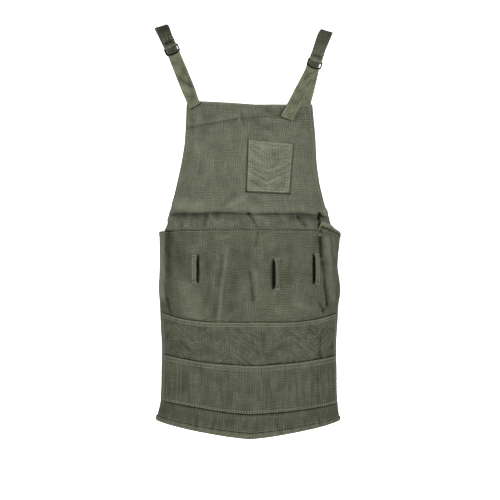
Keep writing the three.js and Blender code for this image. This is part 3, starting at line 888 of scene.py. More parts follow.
@dataclass
class Panel:
    """A cloth panel by row position and t, which goes from -1 at its left edge to 1 at its right."""

    sections: Array
    breadth: float  # half its flat breadth
    folds: Sequence[Fold]
    ripples: Sequence[Ripple]
    edges: Sequence[DrawnUp | Waver] = ()

    def smooth(self, t: Array, position: Array) -> Array:
        """Points without folds: arcs of ellipses through the sections.

        Args:
            t: place across.
            position: row position.

        Returns:
            Points on the smooth panel.
        """
        t, position = np.broadcast_arrays(np.asarray(t, float), np.asarray(position, float))
        column = {name: through(self.sections[name], position) for name in SECTION.names}
        reach, turn, lift = (
            np.where(t < 0, column["left" + part], column["right" + part]) for part in ("", "_turn", "_lift")
        )
        turn = np.radians(turn)
        angle = np.abs(t) * turn
        x = np.sign(t) * reach / np.sin(np.minimum(turn, np.pi / 2)) * np.sin(angle)
        y = column["front"] + column["depth"] * (1 - np.cos(angle))
        z = column["z"] + lift * np.abs(x / reach) ** column["sweep"]
        z = z + sum(edge.height(x, position) for edge in self.edges)
        return np.stack([x, y, z], axis=-1)

    def place(self, t: Array, position: Array) -> tuple[Array, Array]:
        """Points and normals: the smooth panel, raised along its normal by its folds and ripples.

        Args:
            t: place across.
            position: row position.

        Returns:
            Points, and the smooth panel's unit normals towards the front.
        """
        t, position = np.broadcast_arrays(np.asarray(t, float), np.asarray(position, float))
        down = self.smooth(t, position + SLOPE_STEP) - self.smooth(t, position - SLOPE_STEP)
        across = self.smooth(t + SLOPE_STEP, position) - self.smooth(t - SLOPE_STEP, position)
        normal = unit(np.cross(down, across))
        points = self.smooth(t, position)
        x, z = points[..., 0], points[..., 2]
        rise = sum(fold.height(x, z) for fold in self.folds)
        rise = rise + sum(ripple.height(t * self.breadth, z) for ripple in self.ripples)
        return points + normal * rise[..., None], normal

    def rub_and_painted_shade(self, t: Array, position: Array) -> Array:
        """Wear and painted shade that the relief brings: ridges are rubbed paler, and creases and hollows get
        painted shade.

        Args:
            t: place across.
            position: row position.

        Returns:
            The rises of folds and ripples, each times its rub.
        """
        points = self.smooth(t, position)
        folds = sum(fold.rub_and_painted_shade * fold.height(points[..., 0], points[..., 2]) for fold in self.folds)
        ripples = sum(ripple.rub_and_painted_shade * ripple.height(t * self.breadth, points[..., 2]) for ripple in self.ripples)
        return folds + ripples

    def row_at(self, t: Array, z: Array) -> Array:
        """Row position at which the panel has the height Z, found by bisection."""
        last = len(self.sections) - 1.0
        return bisect(lambda p: z - self.smooth(t, p)[..., 2], ABOVE_TOP, last, t.shape)

    def locate(self, x: Array, z: Array) -> tuple[Array, Array]:
        """The t and row position of points given by X and Z on the front, found by bisection in turns.

        Args:
            x: X of the points.
            z: Z of the points.

        Returns:
            Their t and their row position.
        """
        span = WIDEST_TURN / max(self.sections["left_turn"].max(), self.sections["right_turn"].max())
        t = np.zeros_like(x)
        for _ in range(LOCATE_ROUNDS):
            position = self.row_at(t, z)
            t = bisect(lambda s: self.smooth(s, position)[..., 0] - x, -span, span, x.shape)
        return t, position

    def locate_on_side(self, sign: int, y: Array, z: Array) -> tuple[Array, Array]:
        """The same for points of one side given by Y and Z.

        Args:
            sign: -1 for the left side, 1 for the right.
            y: Y of the points.
            z: Z of the points.

        Returns:
            Their t and their row position.
        """
        t = np.full_like(y, sign)
        for _ in range(LOCATE_ROUNDS):
            position = self.row_at(t, z)
            t = sign * bisect(lambda s: self.smooth(sign * s, position)[..., 1] - y, *SIDE_SPAN, y.shape)
        return t, position

    def inset(self, sign: int, position: Array, distance: float) -> Array:
        """The t at a distance in from the left (-1) or right (1) edge, by the breadth per t there."""
        near, far = (self.smooth(sign * (1 - steps * SLOPE_STEP), position) for steps in (1, 2))
        return sign * (1 - distance * SLOPE_STEP / np.linalg.norm(near - far, axis=-1))


def bisect(rising: Callable[[Array], Array], low: float, high: float, shape: tuple[int, ...]) -> Array:
    """Where a rising function passes zero, at every point of an array at once.

    Args:
        rising: the function on a whole array.
        low: lower bound of the search.
        high: upper bound of the search.
        shape: shape of the array.

    Returns:
        The place of zero for each point.
    """
    lows, highs = np.full(shape, low), np.full(shape, high)
    for _ in range(HALVINGS):
        middle = (lows + highs) / 2
        below = rising(middle) < 0
        lows, highs = np.where(below, middle, lows), np.where(below, highs, middle)
    return (lows + highs) / 2


def graded(start: float, *runs: tuple[float, int]) -> Array:
    """Grid lines that are even within each of several runs.

    Args:
        start: the first line.
        runs: end of each run and its number of steps.

    Returns:
        All lines, both ends too.
    """
    ends = [start, *(end for end, _ in runs)]
    parts = [np.linspace(a, b, steps, endpoint=False) for a, b, (_, steps) in zip(ends, ends[1:], runs)]
    return np.concatenate([*parts, [ends[-1]]])


HEM_POWER = 0.35


def hem_roll(position: Array, start: float, end: float) -> Array:
    """Section of a turned hem between its two edges: a parabola that is 1 in the middle, to a low power."""
    share = np.clip((position - start) / (end - start), 0, 1)
    return np.clip(4 * share * (1 - share), 0, 1) ** HEM_POWER


@dataclass
class Layer:
    """One layer of cloth over a panel: its wall lies between two offsets from the panel's surface."""

    panel: Panel
    inside: Callable[[Array, Array], Array]
    outside: Callable[[Array, Array], Array]

    def mesh(self, t: Array, position: Array, wear: Callable[[Array, Array], Array]) -> Mesh:
        """Closed wall over a grid.

        Args:
            t: grid lines across.
            position: grid lines down, as row positions.
            wear: extra wear and painted light by t and row position.

        Returns:
            The wall.
        """
        across, down = np.meshgrid(t, position)
        points, normals = self.panel.place(across, down)
        rubbed = wear(across, down) + self.panel.rub_and_painted_shade(across, down)
        return wall(points, normals, self.inside(across, down), self.outside(across, down), rubbed)

    def row(self, t: Array | float, position: Array | float, within: bool = False) -> Mesh:
        """Row of stitches on the cloth.

        Args:
            t: place across along the row.
            position: row position along it.
            within: whether it is on the inner side.

        Returns:
            The stitches.
        """
        t, position = np.broadcast_arrays(t, position)
        points, normals = self.panel.place(t, position)
        facing = -normals if within else normals
        offset = -self.inside(t, position) if within else self.outside(t, position)
        return stitches(points + facing * (offset + STITCH_LIFT)[..., None], facing)


def pucker(along: Array, distance: Array, seed: int, rise: float = 0.35, pitch: float = 8.0,
           reach: float = 9.0) -> Array:
    """Puckers that stitching draws into cloth: noise along the seam that dies away with distance from it."""
    waves = swell(along / pitch, distance / (3 * reach), seed)
    return FULL_SWELL * rise * waves * np.exp(-np.abs(distance) / reach)


# Grooves that the seams of the patch pocket draw into the bib, along which the bib also gets painted shadow
POCKET_SEAMS = (
    Fold(-4.5, -274, -8.5, -391, 2.2, -1.5), Fold(-8.5, -393, 91, -397, 2.2, -1.5),
    Fold(99.5, -283, 91, -397, 2.2, -1.0),
)
# Each row of a fold table has the fields of a Fold, the rub only where it differs
BIB_FOLDS = POCKET_SEAMS + tuple(Fold(*row) for row in (
    # packing creases across and down the chest
    (-144, -244, -32, -226, 2.2, -3.2), (-32, -226, 68, -217, 2.6, -2.2), (-144, -237, -32, -219, 5, 1.2),
    (-27, -203, -25, -228, 3, 1.6), (-25, -228, -9, -259, 4, 1.2), (-20, -206, -15, -240, 3.5, -1.4),
    (20, -236, 52, -250, 5, -1.4), (58, -232, 94, -226, 6, 1.6), (40, -206, 96, -212, 6, -1.6),
    (-122, -200, -124, -320, 8, 1.3), (-57, -239, -30, -238, 3.5, 0.6),
    # drags down to the waist
    (-9, -402, -50, -426, 6, 2.6), (-34, -396, -62, -419, 6, -1.5), (0, -405, 26, -420, 8, -2.0),
    (-170, -419, -118, -422, 12, 3.0),
    # the waist fold hangs deeper towards both sides, over creased cloth, and ends short of the edges
    (-172, -447, -60, -449, 6, -2.2), (95, -451, 158, -454, 6, -2.6), (-3, -443, 18, -474, 3, -3.4),
    (12, -446, 40, -464, 7, 2.8), (-92, -446, -80, -462, 5, 2.8), (-100, -450, -106, -470, 4, -2.4),
    (-62, -449, -76, -472, 6, 2.2), (-140, -450, -150, -472, 6, 2.4), (72, -447, 84, -468, 6, 2.4),
    (112, -451, 130, -471, 4, -3.0), (161, -442, 165, -482, 3.2, -6.0), (176, -436, 178, -448, 7, 2.5),
    (-186, -440, -188, -455, 6, 3.0),
))
BIB_RIPPLES = (
    Ripple(80, 120, 1.5, 3), Ripple(28, 40, 0.7, 4, rub_and_painted_shade=0.06), Ripple(8, 30, 0.35, 5, rub_and_painted_shade=0.3),
    Ripple(30, 9, 0.3, 8, rub_and_painted_shade=0.3), Ripple(13, 16, 1.8, 9, 30, 0.12, -463, 16),
)
BIB_EDGES = (
    DrawnUp(-112, 9, 38, 125, 2), Waver(6.0, 1.6, 60, 2.6, 6), Waver(6.0, 1.4, 24, 0.8, 7),
)


@dataclass
class Bib:
    """Bib with its patch pocket: a panel from its top hem over the waist fold to the lap behind the skirt."""

    outfit: Outfit
    flat: tuple[float, float] = (424.0, 335.0)
    pocket_flat: tuple[float, float] = (101.0, 114.0)
    hem_start: float = -0.02
    top_hem: float = 0.24
    hem_rise: float = 0.5
    side_hem: float = 9.0
    side_step: float = 0.004  # half the breadth of the step at a side hem, in t
    top_seam: float = 0.035
    side_seam: float = 7.2
    top_row: float = 77.0  # millimetres to a row position at the top hem
    mean_row: float = 50.0  # the same on average
    # Painted highlight on the crest of the waist fold, painted shade under it and at the lap, and a faint
    # darker band across the chest
    bands: tuple[Band, ...] = (
        Band(3.6, 0.5, -0.06), Band(4.7, 0.6, 0.15), Band(6.9, 0.35, -0.3), Band(7.5, 0.4, -0.12),
        Band(8.0, 0.06, -0.5),
    )
    pocket_corners: tuple[tuple[float, float], ...] = ((-2, -276), (97, -284), (-6, -390), (88, -394))
    pocket_front: tuple[float, float] = (98.0, 112.0)  # breadth and height of the pocket as it lies
    pocket_hem: float = 0.11
    pocket_gap: float = 0.25  # the least that a crumple leaves under it
    pocket_rows: tuple[float, ...] = (0.02, 0.095, 0.935, 0.98)
    pocket_columns: tuple[float, ...] = (0.022, 0.075, 0.925, 0.978)
    panel: Panel = field(default_factory=lambda: Panel(
        BIB_SECTIONS, 190.0, BIB_FOLDS, BIB_RIPPLES, BIB_EDGES,
    ))

    def hem(self, t: Array, position: Array) -> Array:
        """Rise of the turned hems: a band along the top and a narrower one down each side.

        Args:
            t: place across.
            position: row position.

        Returns:
            Rise of the cloth.
        """
        top = hem_roll(position, self.hem_start, self.top_hem) * (position <= self.top_hem)
        edges = (self.panel.inset(sign, position, self.side_hem) for sign in (-1, 1))
        edge = np.abs(np.where(t < 0, *edges)).min()
        side = ease(np.abs(t), edge - self.side_step, edge + self.side_step)
        return self.hem_rise * np.maximum(top, 0.5 * side)

    def outside(self, t: Array, position: Array) -> Array:
        """Outer face of the bib: its wall, its hems and the puckers of their seams.

        Args:
            t: place across.
            position: row position.

        Returns:
            Offset from the panel's surface.
        """
        beside = (1 - np.abs(t)) * self.panel.breadth - self.side_hem
        puckers = pucker(t * self.panel.breadth, (position - self.top_hem) * self.top_row, 11, 0.22)
        puckers = puckers + pucker(position * self.mean_row, beside, 12, 0.2)
        return HALF + self.hem(t, position) + puckers

    def wear(self, t: Array, position: Array) -> Array:
        """Painted highlight along the crest of the waist fold, painted shade under it and at the lap, painted
        shadow along the pocket's seams, a faint darker band across the chest, and a little darker at the top.

        Args:
            t: place across.
            position: row position.

        Returns:
            Wear and painted light of the cloth.
        """
        points = self.panel.smooth(t, position)
        # Painted shadow along the pocket's seams
        seams = sum(seam.height(points[..., 0], points[..., 2]) for seam in POCKET_SEAMS)
        bands = sum(band.wear(position) for band in self.bands)
        return bands - 0.1 * (1 - ease(position, 0.5, 1.2)) + 0.3 * seams

    def build(self) -> None:
        """The bib, its pocket and their stitching."""
        layer = Layer(self.panel, lambda t, p: np.full(np.broadcast(t, p).shape, -HALF), self.outside)
        t = graded(-1, (-0.93, 8), (0.93, 178), (1, 8))
        rows = graded(0, (0.22, 8), (0.27, 5), (4, 104), (8, 64), (9, 5))
        mesh = layer.mesh(t, rows, self.wear)
        bib = self.outfit.dress("bib_cloth", mesh, LIT_BIB_CANVAS, Slot.CANVAS, ["bib"])
        across, down = np.linspace(-SEAM_END, SEAM_END, 400), np.linspace(0.05, 7.9, 400)
        sewn = []
        for within in (False, True):
            sewn += [layer.row(across, self.top_seam, within)]
            sides = (self.panel.inset(sign, down, self.side_seam) for sign in (-1, 1))
            sewn += [layer.row(side, down, within) for side in sides]
        sewing = self.outfit.sew("bib_stitching", sewn, Slot.CANVAS)
        pocket, pocket_sewing = self.build_pocket(layer)
        area = mesh.area() / 2 * MM**2

    def pocket_spot(self, u: Array | float, v: Array | float) -> tuple[Array, Array]:
        """Where the pocket lies on the bib: its four corners mixed straight.

        Args:
            u: share across the pocket.
            v: share down the pocket.

        Returns:
            The bib's t and row position.
        """
        top_left, top_right, foot_left, foot_right = (np.array(c, float) for c in self.pocket_corners)
        u, v = np.asarray(u)[..., None], np.asarray(v)[..., None]
        corner = blend(blend(top_left, top_right, u), blend(foot_left, foot_right, u), v)
        return self.panel.locate(corner[..., 0], corner[..., 1])

    def pocket_crumple(self, u: Array, v: Array) -> Array:
        """Crumples of washed cloth that fall to the pocket's middle and rise again, over finer ones.

        Args:
            u: share across the pocket.
            v: share down the pocket.

        Returns:
            Rise of the cloth.
        """
        breadth, height = self.pocket_front
        across = u * breadth
        fall = v * height + 0.5 * np.abs(across - 45)
        return Ripple(42, 7, 1.2, 21).height(across, fall) + Ripple(14, 6, 0.5, 22, 20).height(across, fall)

    def pocket_faces(self, u: Array, v: Array) -> tuple[Array, Array]:
        """Inner and outer face of the pocket.

        Under it is the mouth's slack, and fullness and crumples between its seams. Its wall is thicker at
        its hem and its turned edges, and puckered along the seams.

        Args:
            u: share across the pocket.
            v: share down the pocket.

        Returns:
            Both offsets from the bib's outer face.
        """
        breadth, height = self.pocket_front
        sides = np.minimum(u, 1 - u) * breadth
        inner = np.minimum(sides, np.minimum(v, 1 - v) * height)
        slack = MOUTH_SLACK * (1 - v) ** 1.5 * (1 - (2 * u - 1) ** 4)
        crumple = self.pocket_crumple(u, v) * ease(inner, 1, 12)
        inside = np.maximum(LAYER_GAP + slack + 1.4 * ease(inner, 3, 22) + crumple, self.pocket_gap)
        edge = np.minimum(sides, (1 - v) * height)
        hem = hem_roll(v, -0.01, self.pocket_hem) * (v < self.pocket_hem)
        puckers = pucker(v * height + u * breadth, edge - 5, 23, 0.3, 6.0, 7.0)
        return inside, inside + PATCH + 0.6 * np.maximum(hem, 1 - ease(edge, 5.5, 8)) + puckers

    def build_pocket(self, layer: Layer) -> tuple[bpy.types.Object, bpy.types.Object]:
        """Patch pocket, laid on the bib and gaping a little at its mouth.

        Args:
            layer: the bib's cloth.

        Returns:
            The pocket and its stitching.
        """

        def place(u: Array, v: Array) -> tuple[Array, Array]:
            """Points on the bib's outer face and its normals, by shares across and down the pocket."""
            points, normals = self.panel.place(*self.pocket_spot(u, v))
            return points + normals * self.outside(*self.pocket_spot(u, v))[..., None], normals

        def row(u: Array | float, v: Array | float) -> Mesh:
            """Row of stitches on the pocket, along a line of shares across and down."""
            (points, normals), faces = place(u, v), self.pocket_faces(*np.broadcast_arrays(u, v))
            return stitches(points + normals * (faces[1] + STITCH_LIFT)[..., None], normals)

        u, v = np.meshgrid(
            graded(0, (0.09, 7), (0.91, 50), (1, 7)), graded(0, (0.13, 12), (0.93, 56), (1, 6)),
        )
        # Pocket paler all over, with crumple crests rubbed paler and painted shade in their hollows
        mesh = wall(*place(u, v), *self.pocket_faces(u, v), 0.24 + 0.42 * self.pocket_crumple(u, v))
        pocket = self.outfit.dress("chest_pocket_cloth", mesh, LIT_BIB_CANVAS, Slot.CANVAS, ["chest_pocket"])
        ends = np.linspace(0.02, 0.98, 120)
        rows = [row(ends, share) for share in self.pocket_rows]
        rows += [row(share, ends) for share in self.pocket_columns]
        rows += [layer.row(*self.pocket_spot(ends, share), True) for share in self.pocket_rows[2:]]
        rows += [layer.row(*self.pocket_spot(share, ends), True) for share in self.pocket_columns]
        return pocket, self.outfit.sew("chest_pocket_stitching", rows, Slot.CANVAS)


SKIRT_FOLDS = tuple(Fold(*row) for row in (
    # pleat down from the right wing: a deep crease, with ridges outside it
    (165, -484, 168, -540, 4.0, -6.5, 0.09), (170, -552, 175, -610, 3.2, -4.0),
    (176, -615, 182, -655, 3.4, -4.5), (160, -490, 166, -560, 6, -1.6), (180, -500, 186, -570, 5, 4.5),
    (186, -580, 193, -640, 6, 3.5), (192, -500, 196, -540, 4, 2.0), (163, -650, 171, -668, 3.2, -3.4),
    (180, -650, 172, -668, 3.2, -3.4), (172, -650, 172, -658, 3.5, 2.4),
    # the wing's edge stands away from the bib
    (164, -456, 182, -468, 8, 7.0, 0), (186, -470, 203, -485, 9, 4.0, 0),
    # ridge left of the middle, with a hollow beside it
    (-53, -523, -72, -690, 4.5, 4.0), (-34, -535, -44, -680, 12, -2.2), (-66, -540, -84, -680, 5, -1.8),
    (-53, -687, -33, -662, 6, 3.0), (-78, -499, -52, -496, 6, 2.4), (-60, -590, -57, -640, 2.4, -1.6),
    # middle creases
    (0, -578, 7, -644, 2.6, -3.6), (13, -580, 19, -640, 8, 2.4), (18, -486, 13, -516, 2.6, -3.2),
    (-4, -500, -6, -575, 10, -1.8), (22, -500, 30, -560, 7, 1.8), (96, -520, 90, -600, 8, -1.6),
    # left side: a crease along the edge strip, a hollow at the hip, full below
    (-198, -508, -200, -538, 2.6, -3.6), (-201, -540, -197, -570, 2.6, -4.6),
    (-197, -572, -200, -604, 3, -4.0), (-202, -606, -196, -640, 2.6, -4.2),
    (-195, -642, -186, -672, 3.2, -4.4), (-206, -520, -207, -640, 5, 2.4),
    (-184, -498, -158, -560, 15, -2.0), (-152, -610, -132, -662, 22, 3.0),
    (-110, -500, -128, -530, 10, 1.6), (-100, -560, -98, -650, 9, -1.6),
    # bulges over the upper pockets
    (104, -650, 143, -664, 9, 2.6), (60, -668, 90, -676, 9, 2.0), (-150, -674, -118, -682, 7, 2.4),
    (162, -730, 162, -772, 4, -2.4),
))
SKIRT_RIPPLES = (
    Ripple(60, 190, 2.0, 31), Ripple(26, 60, 1.0, 32, rub_and_painted_shade=0.06), Ripple(10, 26, 0.35, 33, rub_and_painted_shade=0.35),
    Ripple(22, 7, 0.25, 38, rub_and_painted_shade=0.3), Ripple(9, 40, 1.1, 39, 0, 0.34, -935, 26),
)
SKIRT_EDGES = (
    DrawnUp(165, 21, 4, 50, 0.4), Waver(3.0, 0.3, 70, 1.5, 34), Waver(4.0, 0.3, 80, 1.2, 35),
    Waver(5.0, 0.3, 80, 1.2, 36),
)


@dataclass
class Skirt:
    """Skirt with its two rows of pockets and its tool loops."""

    outfit: Outfit
    flat: tuple[float, float] = (590.0, 490.0)
    upper_flat: tuple[float, float] = (445.0, 214.0)
    lower_flat: tuple[float, float] = (445.0, 114.0)
    loop_flat: tuple[float, float] = (12.0, 84.0)
    upper_mouth: float = 3.0
    lower_mouth: float = 4.0
    mouth_hem: float = 0.12
    pocket_foot: float = 5.0
    hem: float = 5.77
    hem_end: float = 6.02
    hem_rise: float = 2.2
    top_turn: float = 0.15
    mouth_rise: float = 0.6
    pocket_left: float = 5 / 6
    pocket_right: float = 1 - 11 / 84
    pocket_slack: float = 1.0
    pocket_taper: float = 0.55
    pocket_gap: float = 0.4  # the least that a ripple leaves under a pocket row
    tuck_depth: float = 1.4
    sag: tuple[float, float, float] = (0.7, 1.8, 22.0)  # of the cloth over a mouth: mean, swing and size
    zigzag: tuple[float, float, float] = (40.0, 120.0, 0.8)  # of the upper row: start, pitch and slope
    top_row: float = 72.0  # millimetres to a row position at the top, in the pocket rows and at the hem
    pocket_row: float = 100.0
    hem_row: float = 57.0
    top_seam: float = 0.05
    hem_seam: float = 5.735
    edge_seams: tuple[float, float] = (2.5, 8.0)
    mouth_seams: tuple[float, float] = (0.02, 0.098)  # below a mouth
    foot_seams: tuple[float, float] = (4.945, 4.985)
    side_seams: tuple[float, float] = (0.007, 0.027)  # in t, from the sides of the pocket rows
    # Painted shadow lines above the two mouths and under the pockets' foot
    mouth_bands: tuple[Band, ...] = (Band(3.0, 0.03, -1.0), Band(4.0, 0.03, -1.0), Band(5.03, 0.03, -0.8))
    # Painted highlight on the rolled hem, darker above it, and a painted shadow line at its top
    hem_bands: tuple[Band, ...] = (Band(5.9, 0.08, 0.3), Band(5.4, 0.3, -0.2), Band(5.76, 0.02, -1.0))
    panel: Panel = field(default_factory=lambda: Panel(
        SKIRT_SECTIONS, 262.0, SKIRT_FOLDS, SKIRT_RIPPLES, SKIRT_EDGES,
    ))

    def aside(self, t: Array) -> Array:
        """Place between the middle, 0, and the side edge of the pocket rows, 1."""
        return np.abs(t) / np.where(t < 0, self.pocket_left, self.pocket_right)

    def taper(self, t: Array) -> Array:
        """Share that the pocket layers thin down to at their side edges, where they are sewn flat."""
        return 1 - self.pocket_taper * ease(self.aside(t), 0.86, 1.0)

    def tuck(self, mouth: float, t: Array, position: Array) -> Array:
        """How far cloth draws in behind a pocket's mouth, and stands out unevenly where it sags over it.

        Args:
            mouth: row position of the mouth.
            t: place across.
            position: row position.

        Returns:
            Depth, negative where the cloth stands out.
        """
        within = 1 - np.clip(self.aside(t), 0, 1) ** 8
        mean, swing, size = self.sag
        sag = mean + swing * swell(t * self.panel.breadth / size, np.full_like(t, mouth + 0.5), 37)
        below = bell((position - mouth - 0.03) * self.pocket_row, 4)
        above = bell((position - mouth + 0.1) * self.pocket_row, 7)
        return within * (self.tuck_depth * below - sag * above)

    def drawn(self, t: Array, position: Array) -> Array:
        """How far the skirt's cloth draws in behind both mouths."""
        return self.tuck(self.upper_mouth, t, position) + self.tuck(self.lower_mouth, t, position)

    def rolled(self, position: Array) -> Array:
        """Section of the rolled hem by row position, 0 above it."""
        return hem_roll(position, self.hem, self.hem_end) * (position > self.hem)

    def inside(self, t: Array, position: Array) -> Array:
        """Inner face of the skirt, drawn in at the pocket mouths and thicker inwards at the hem."""
        return -HALF - self.drawn(t, position) - 0.5 * self.rolled(position)

    def outside(self, t: Array, position: Array) -> Array:
        """Outer face of the skirt: its wall, the rolled hem, the turned top edge and their puckers.

        Args:
            t: place across.
            position: row position.

        Returns:
            Offset from the panel's surface.
        """
        u = t * self.panel.breadth
        hem = self.hem_rise * self.rolled(position)
        top = 0.8 * hem_roll(position, -0.03, self.top_turn) * (position < self.top_turn)
        puckers = pucker(u, (self.hem - position) * self.hem_row, 41, 0.35, 9.0)
        puckers = puckers + pucker(u, (position - self.top_turn) * self.top_row, 42, 0.3)
        foot = pucker(u, np.maximum(position - self.pocket_foot, 0) * self.hem_row, 43, 0.35, 8.0, 16.0)
        return HALF - self.drawn(t, position) + hem + top + puckers + foot * (position > self.pocket_foot)

    def gape(self, mouth: float, t: Array, position: Array) -> Array:
        """Gape of a pocket row: most at the middle of its mouth, none at its sides and foot."""
        open_share = np.clip((self.pocket_foot - position) / (self.pocket_foot - mouth), 0, 1)
        return self.pocket_slack * open_share**1.5 * (1 - self.aside(t) ** 4)

    def pocket_wall(self, mouth: float, t: Array, position: Array, seed: int) -> Array:
        """Wall of a pocket row: its cloth, its mouth hem, its turned foot and the puckers of their seams.

        Args:
            mouth: row position of its mouth.
            t: place across.
            position: row position.
            seed: chooses the puckers.

        Returns:
            Thickness of the wall.
        """
        u = t * self.panel.breadth
        hem = self.mouth_rise * hem_roll(position, mouth - 0.01, mouth + self.mouth_hem)
        foot = 0.5 * ease(position, self.pocket_foot - 0.07, self.pocket_foot - 0.055)
        below, above = position - mouth - self.mouth_hem, self.pocket_foot - 0.06 - position
        puckers = pucker(u, below * self.pocket_row, seed, 0.4, 7.0, 12.0)
        puckers = puckers + pucker(u, above * self.pocket_row, seed + 1, 0.3, 7.0, 10.0)
        return self.taper(t) * (PATCH + hem * (position < mouth + self.mouth_hem) + foot + puckers)

    def slanting(self, t: Array, position: Array) -> Array:
        """Ripples of the upper row, which run across it in zigzags: their fall follows a triangle wave.

        Args:
            t: place across.
            position: row position.

        Returns:
            Rise of the cloth.
        """
        u, v = t * self.panel.breadth, position * self.pocket_row
        start, pitch, slope = self.zigzag
        fall = v + slope * np.abs((u + start) % pitch - pitch / 2)
        return Ripple(36, 6, 1.1, 51).height(u, fall) + Ripple(6, 30, 0.5, 52).height(u, v)

    def upright(self, t: Array, position: Array) -> Array:
        """Ripples of the lower row, which run up and down."""
        return Ripple(5.5, 70, 1.0, 61).height(t * self.panel.breadth, position * self.pocket_row)

    def upper_inside(self, t: Array, position: Array) -> Array:
        """Inner face of the upper row: clear of the skirt, gaping at its mouth, with slanting ripples.

        Args:
            t: place across.
            position: row position.

        Returns:
            Offset from the panel's surface.
        """
        free = ease(position, self.upper_mouth + 0.1, self.upper_mouth + 0.35)
        free = free * (1 - ease(position, self.lower_mouth - 0.1, self.lower_mouth + 0.3))
        ripples = 1.0 + self.slanting(t, position)
        lift = LAYER_GAP + self.gape(self.upper_mouth, t, position) + ripples * free
        drawn = self.tuck(self.lower_mouth, t, position)
        return HALF - drawn + self.taper(t) * np.maximum(lift, self.pocket_gap)

    def upper_outside(self, t: Array, position: Array) -> Array:
        """Outer face of the upper row."""
        return self.upper_inside(t, position) + self.pocket_wall(self.upper_mouth, t, position, 53)

    def lower_inside(self, t: Array, position: Array) -> Array:
        """Inner face of the lower row: clear of the upper one, gaping at its mouth, with upright ripples.

        Args:
            t: place across.
            position: row position.

        Returns:
            Offset from the panel's surface.
        """
        free = ease(position, self.lower_mouth + 0.1, self.lower_mouth + 0.3)
        under = self.upper_outside(t, position) + np.maximum(self.tuck(self.lower_mouth, t, position), 0)
        lift = LAYER_GAP + self.gape(self.lower_mouth, t, position) + (0.7 + self.upright(t, position)) * free
        return under + self.taper(t) * np.maximum(lift, self.pocket_gap)

    def lower_outside(self, t: Array, position: Array) -> Array:
        """Outer face of the lower row."""
        return self.lower_inside(t, position) + self.pocket_wall(self.lower_mouth, t, position, 63)

    def wear(self, t: Array, position: Array) -> Array:
        """Painted highlights on the wing's rolled top, a strip down the left edge and the rolled hem; painted
        shade beside the strip; darker above the hem; painted shadow lines under the wing's roll, along the
        top seam, above the mouths, under the pockets' foot and at the top of the hem; and the loops' painted
        shadows.

        Args:
            t: place across.
            position: row position.

        Returns:
            Wear and painted light of the cloth.
        """
        points = self.panel.smooth(t, position)
        x, z = points[..., 0], points[..., 2]
        mouths, hems = (
            sum(band.wear(position) for band in bands) for bands in (self.mouth_bands, self.hem_bands)
        )
        mouths = mouths * (1 - ease(self.aside(t), 0.985, 1.005))
        winged = ease(x, 156, 164)
        # Painted highlight along the wing's rolled top with a painted shadow line under it; elsewhere a
        # painted shadow line along the top seam
        roll = 0.9 * (1 - ease(position, 0.035, 0.05)) - 0.8 * bell(position - 0.065, 0.02)
        top = winged * roll - 0.7 * (1 - winged) * bell(position - 0.02, 0.03)
        # Painted light on a strip down the left edge, and painted shade in a band beside it
        edge = x + 5 * swell(z / 26, np.full_like(z, 0.6), 44)
        strip = 0.6 * ease(-edge, 197, 201) - 0.45 * bell(edge + 190, 7) * (1 - ease(position, 1.0, 2.4))
        strip = strip * (1 - ease(position, 2.2, 2.7))
        return hems + top + strip + mouths - sum(loop.painted_shadow(x, z) for loop in LOOPS)

    def build(self) -> None:
        """The skirt, its pocket rows, its loops and their stitching."""
        across = graded(-1, (-0.93, 8), (-0.62, 38), (0.48, 140), (0.66, 40), (0.93, 26), (1, 8))
        cloth = Layer(self.panel, self.inside, self.outside)
        rows = graded(
            0, (0.12, 8), (0.18, 4), (2.7, 70), (2.94, 11), (3.05, 9), (3.8, 10), (4.12, 14), (4.95, 8),
            (5.72, 20), (5.8, 7), (6, 7),
        )
        mesh = cloth.mesh(across, rows, self.wear)
        skirt = self.outfit.dress("skirt_cloth", mesh, SHADED_SKIRT_CANVAS, Slot.CANVAS, ["skirt"])
        line, down = np.linspace(-SEAM_END, SEAM_END, 500), np.linspace(0.12, 5.95, 500)
        seam = np.linspace(0.01 - self.pocket_left, self.pocket_right - 0.01, 480)
        beside = [inset - self.pocket_left for inset in self.side_seams]
        beside += [self.pocket_right - inset for inset in reversed(self.side_seams)]
        sewn = [cloth.row(line, row) for row in (self.top_seam, self.hem_seam)]
        for sign in (-1, 1):
            for within in (False, True):
                edges = (self.panel.inset(sign, down, inset) for inset in self.edge_seams)
                sewn += [cloth.row(edge, down, within) for edge in edges]
        sewn += [cloth.row(line, self.hem_seam, True)]
        sewn += [cloth.row(seam, row, True) for row in self.foot_seams]
        sewn += [cloth.row(t, np.linspace(3.02, 4.98, 240), True) for t in beside]
        sewing = self.outfit.sew("skirt_stitching", sewn, Slot.CANVAS)
        mesh.area() / 2 * MM**2

        inner = across[(across > 0.01 - self.pocket_left) & (across < self.pocket_right - 0.01)]
        inner = np.concatenate([[-self.pocket_left], inner, [self.pocket_right]])
        for name, flat, mouth, inside, outside, ripples, rows in (
            (
                "pocket_row_upper", self.upper_flat, self.upper_mouth, self.upper_inside, self.upper_outside,
                self.slanting,
                graded(3, (3.105, 7), (3.15, 5), (3.95, 46), (4.05, 9), (4.12, 4), (4.93, 8), (5, 5)),
            ),
            (
                "pocket_row_lower", self.lower_flat, self.lower_mouth, self.lower_inside, self.lower_outside,
                self.upright, graded(4, (4.105, 7), (4.15, 5), (4.93, 40), (5, 5)),
            ),
        ):
            layer = Layer(self.panel, inside, outside)

            def wear(t: Array, p: Array, mouth: float = mouth, ripples: Callable = ripples) -> Array:
                """Crests rubbed paler and hollows in painted shade, paler along the mouth hem, a little
                darker all over, and a painted shadow under the lower row's mouth.
                """
                painted_shadow = bell(p - self.lower_mouth, 0.03) * (mouth < self.lower_mouth)
                return 0.3 * ripples(t, p) + 0.2 * bell(p - mouth - 0.05, 0.06) - 0.06 - painted_shadow

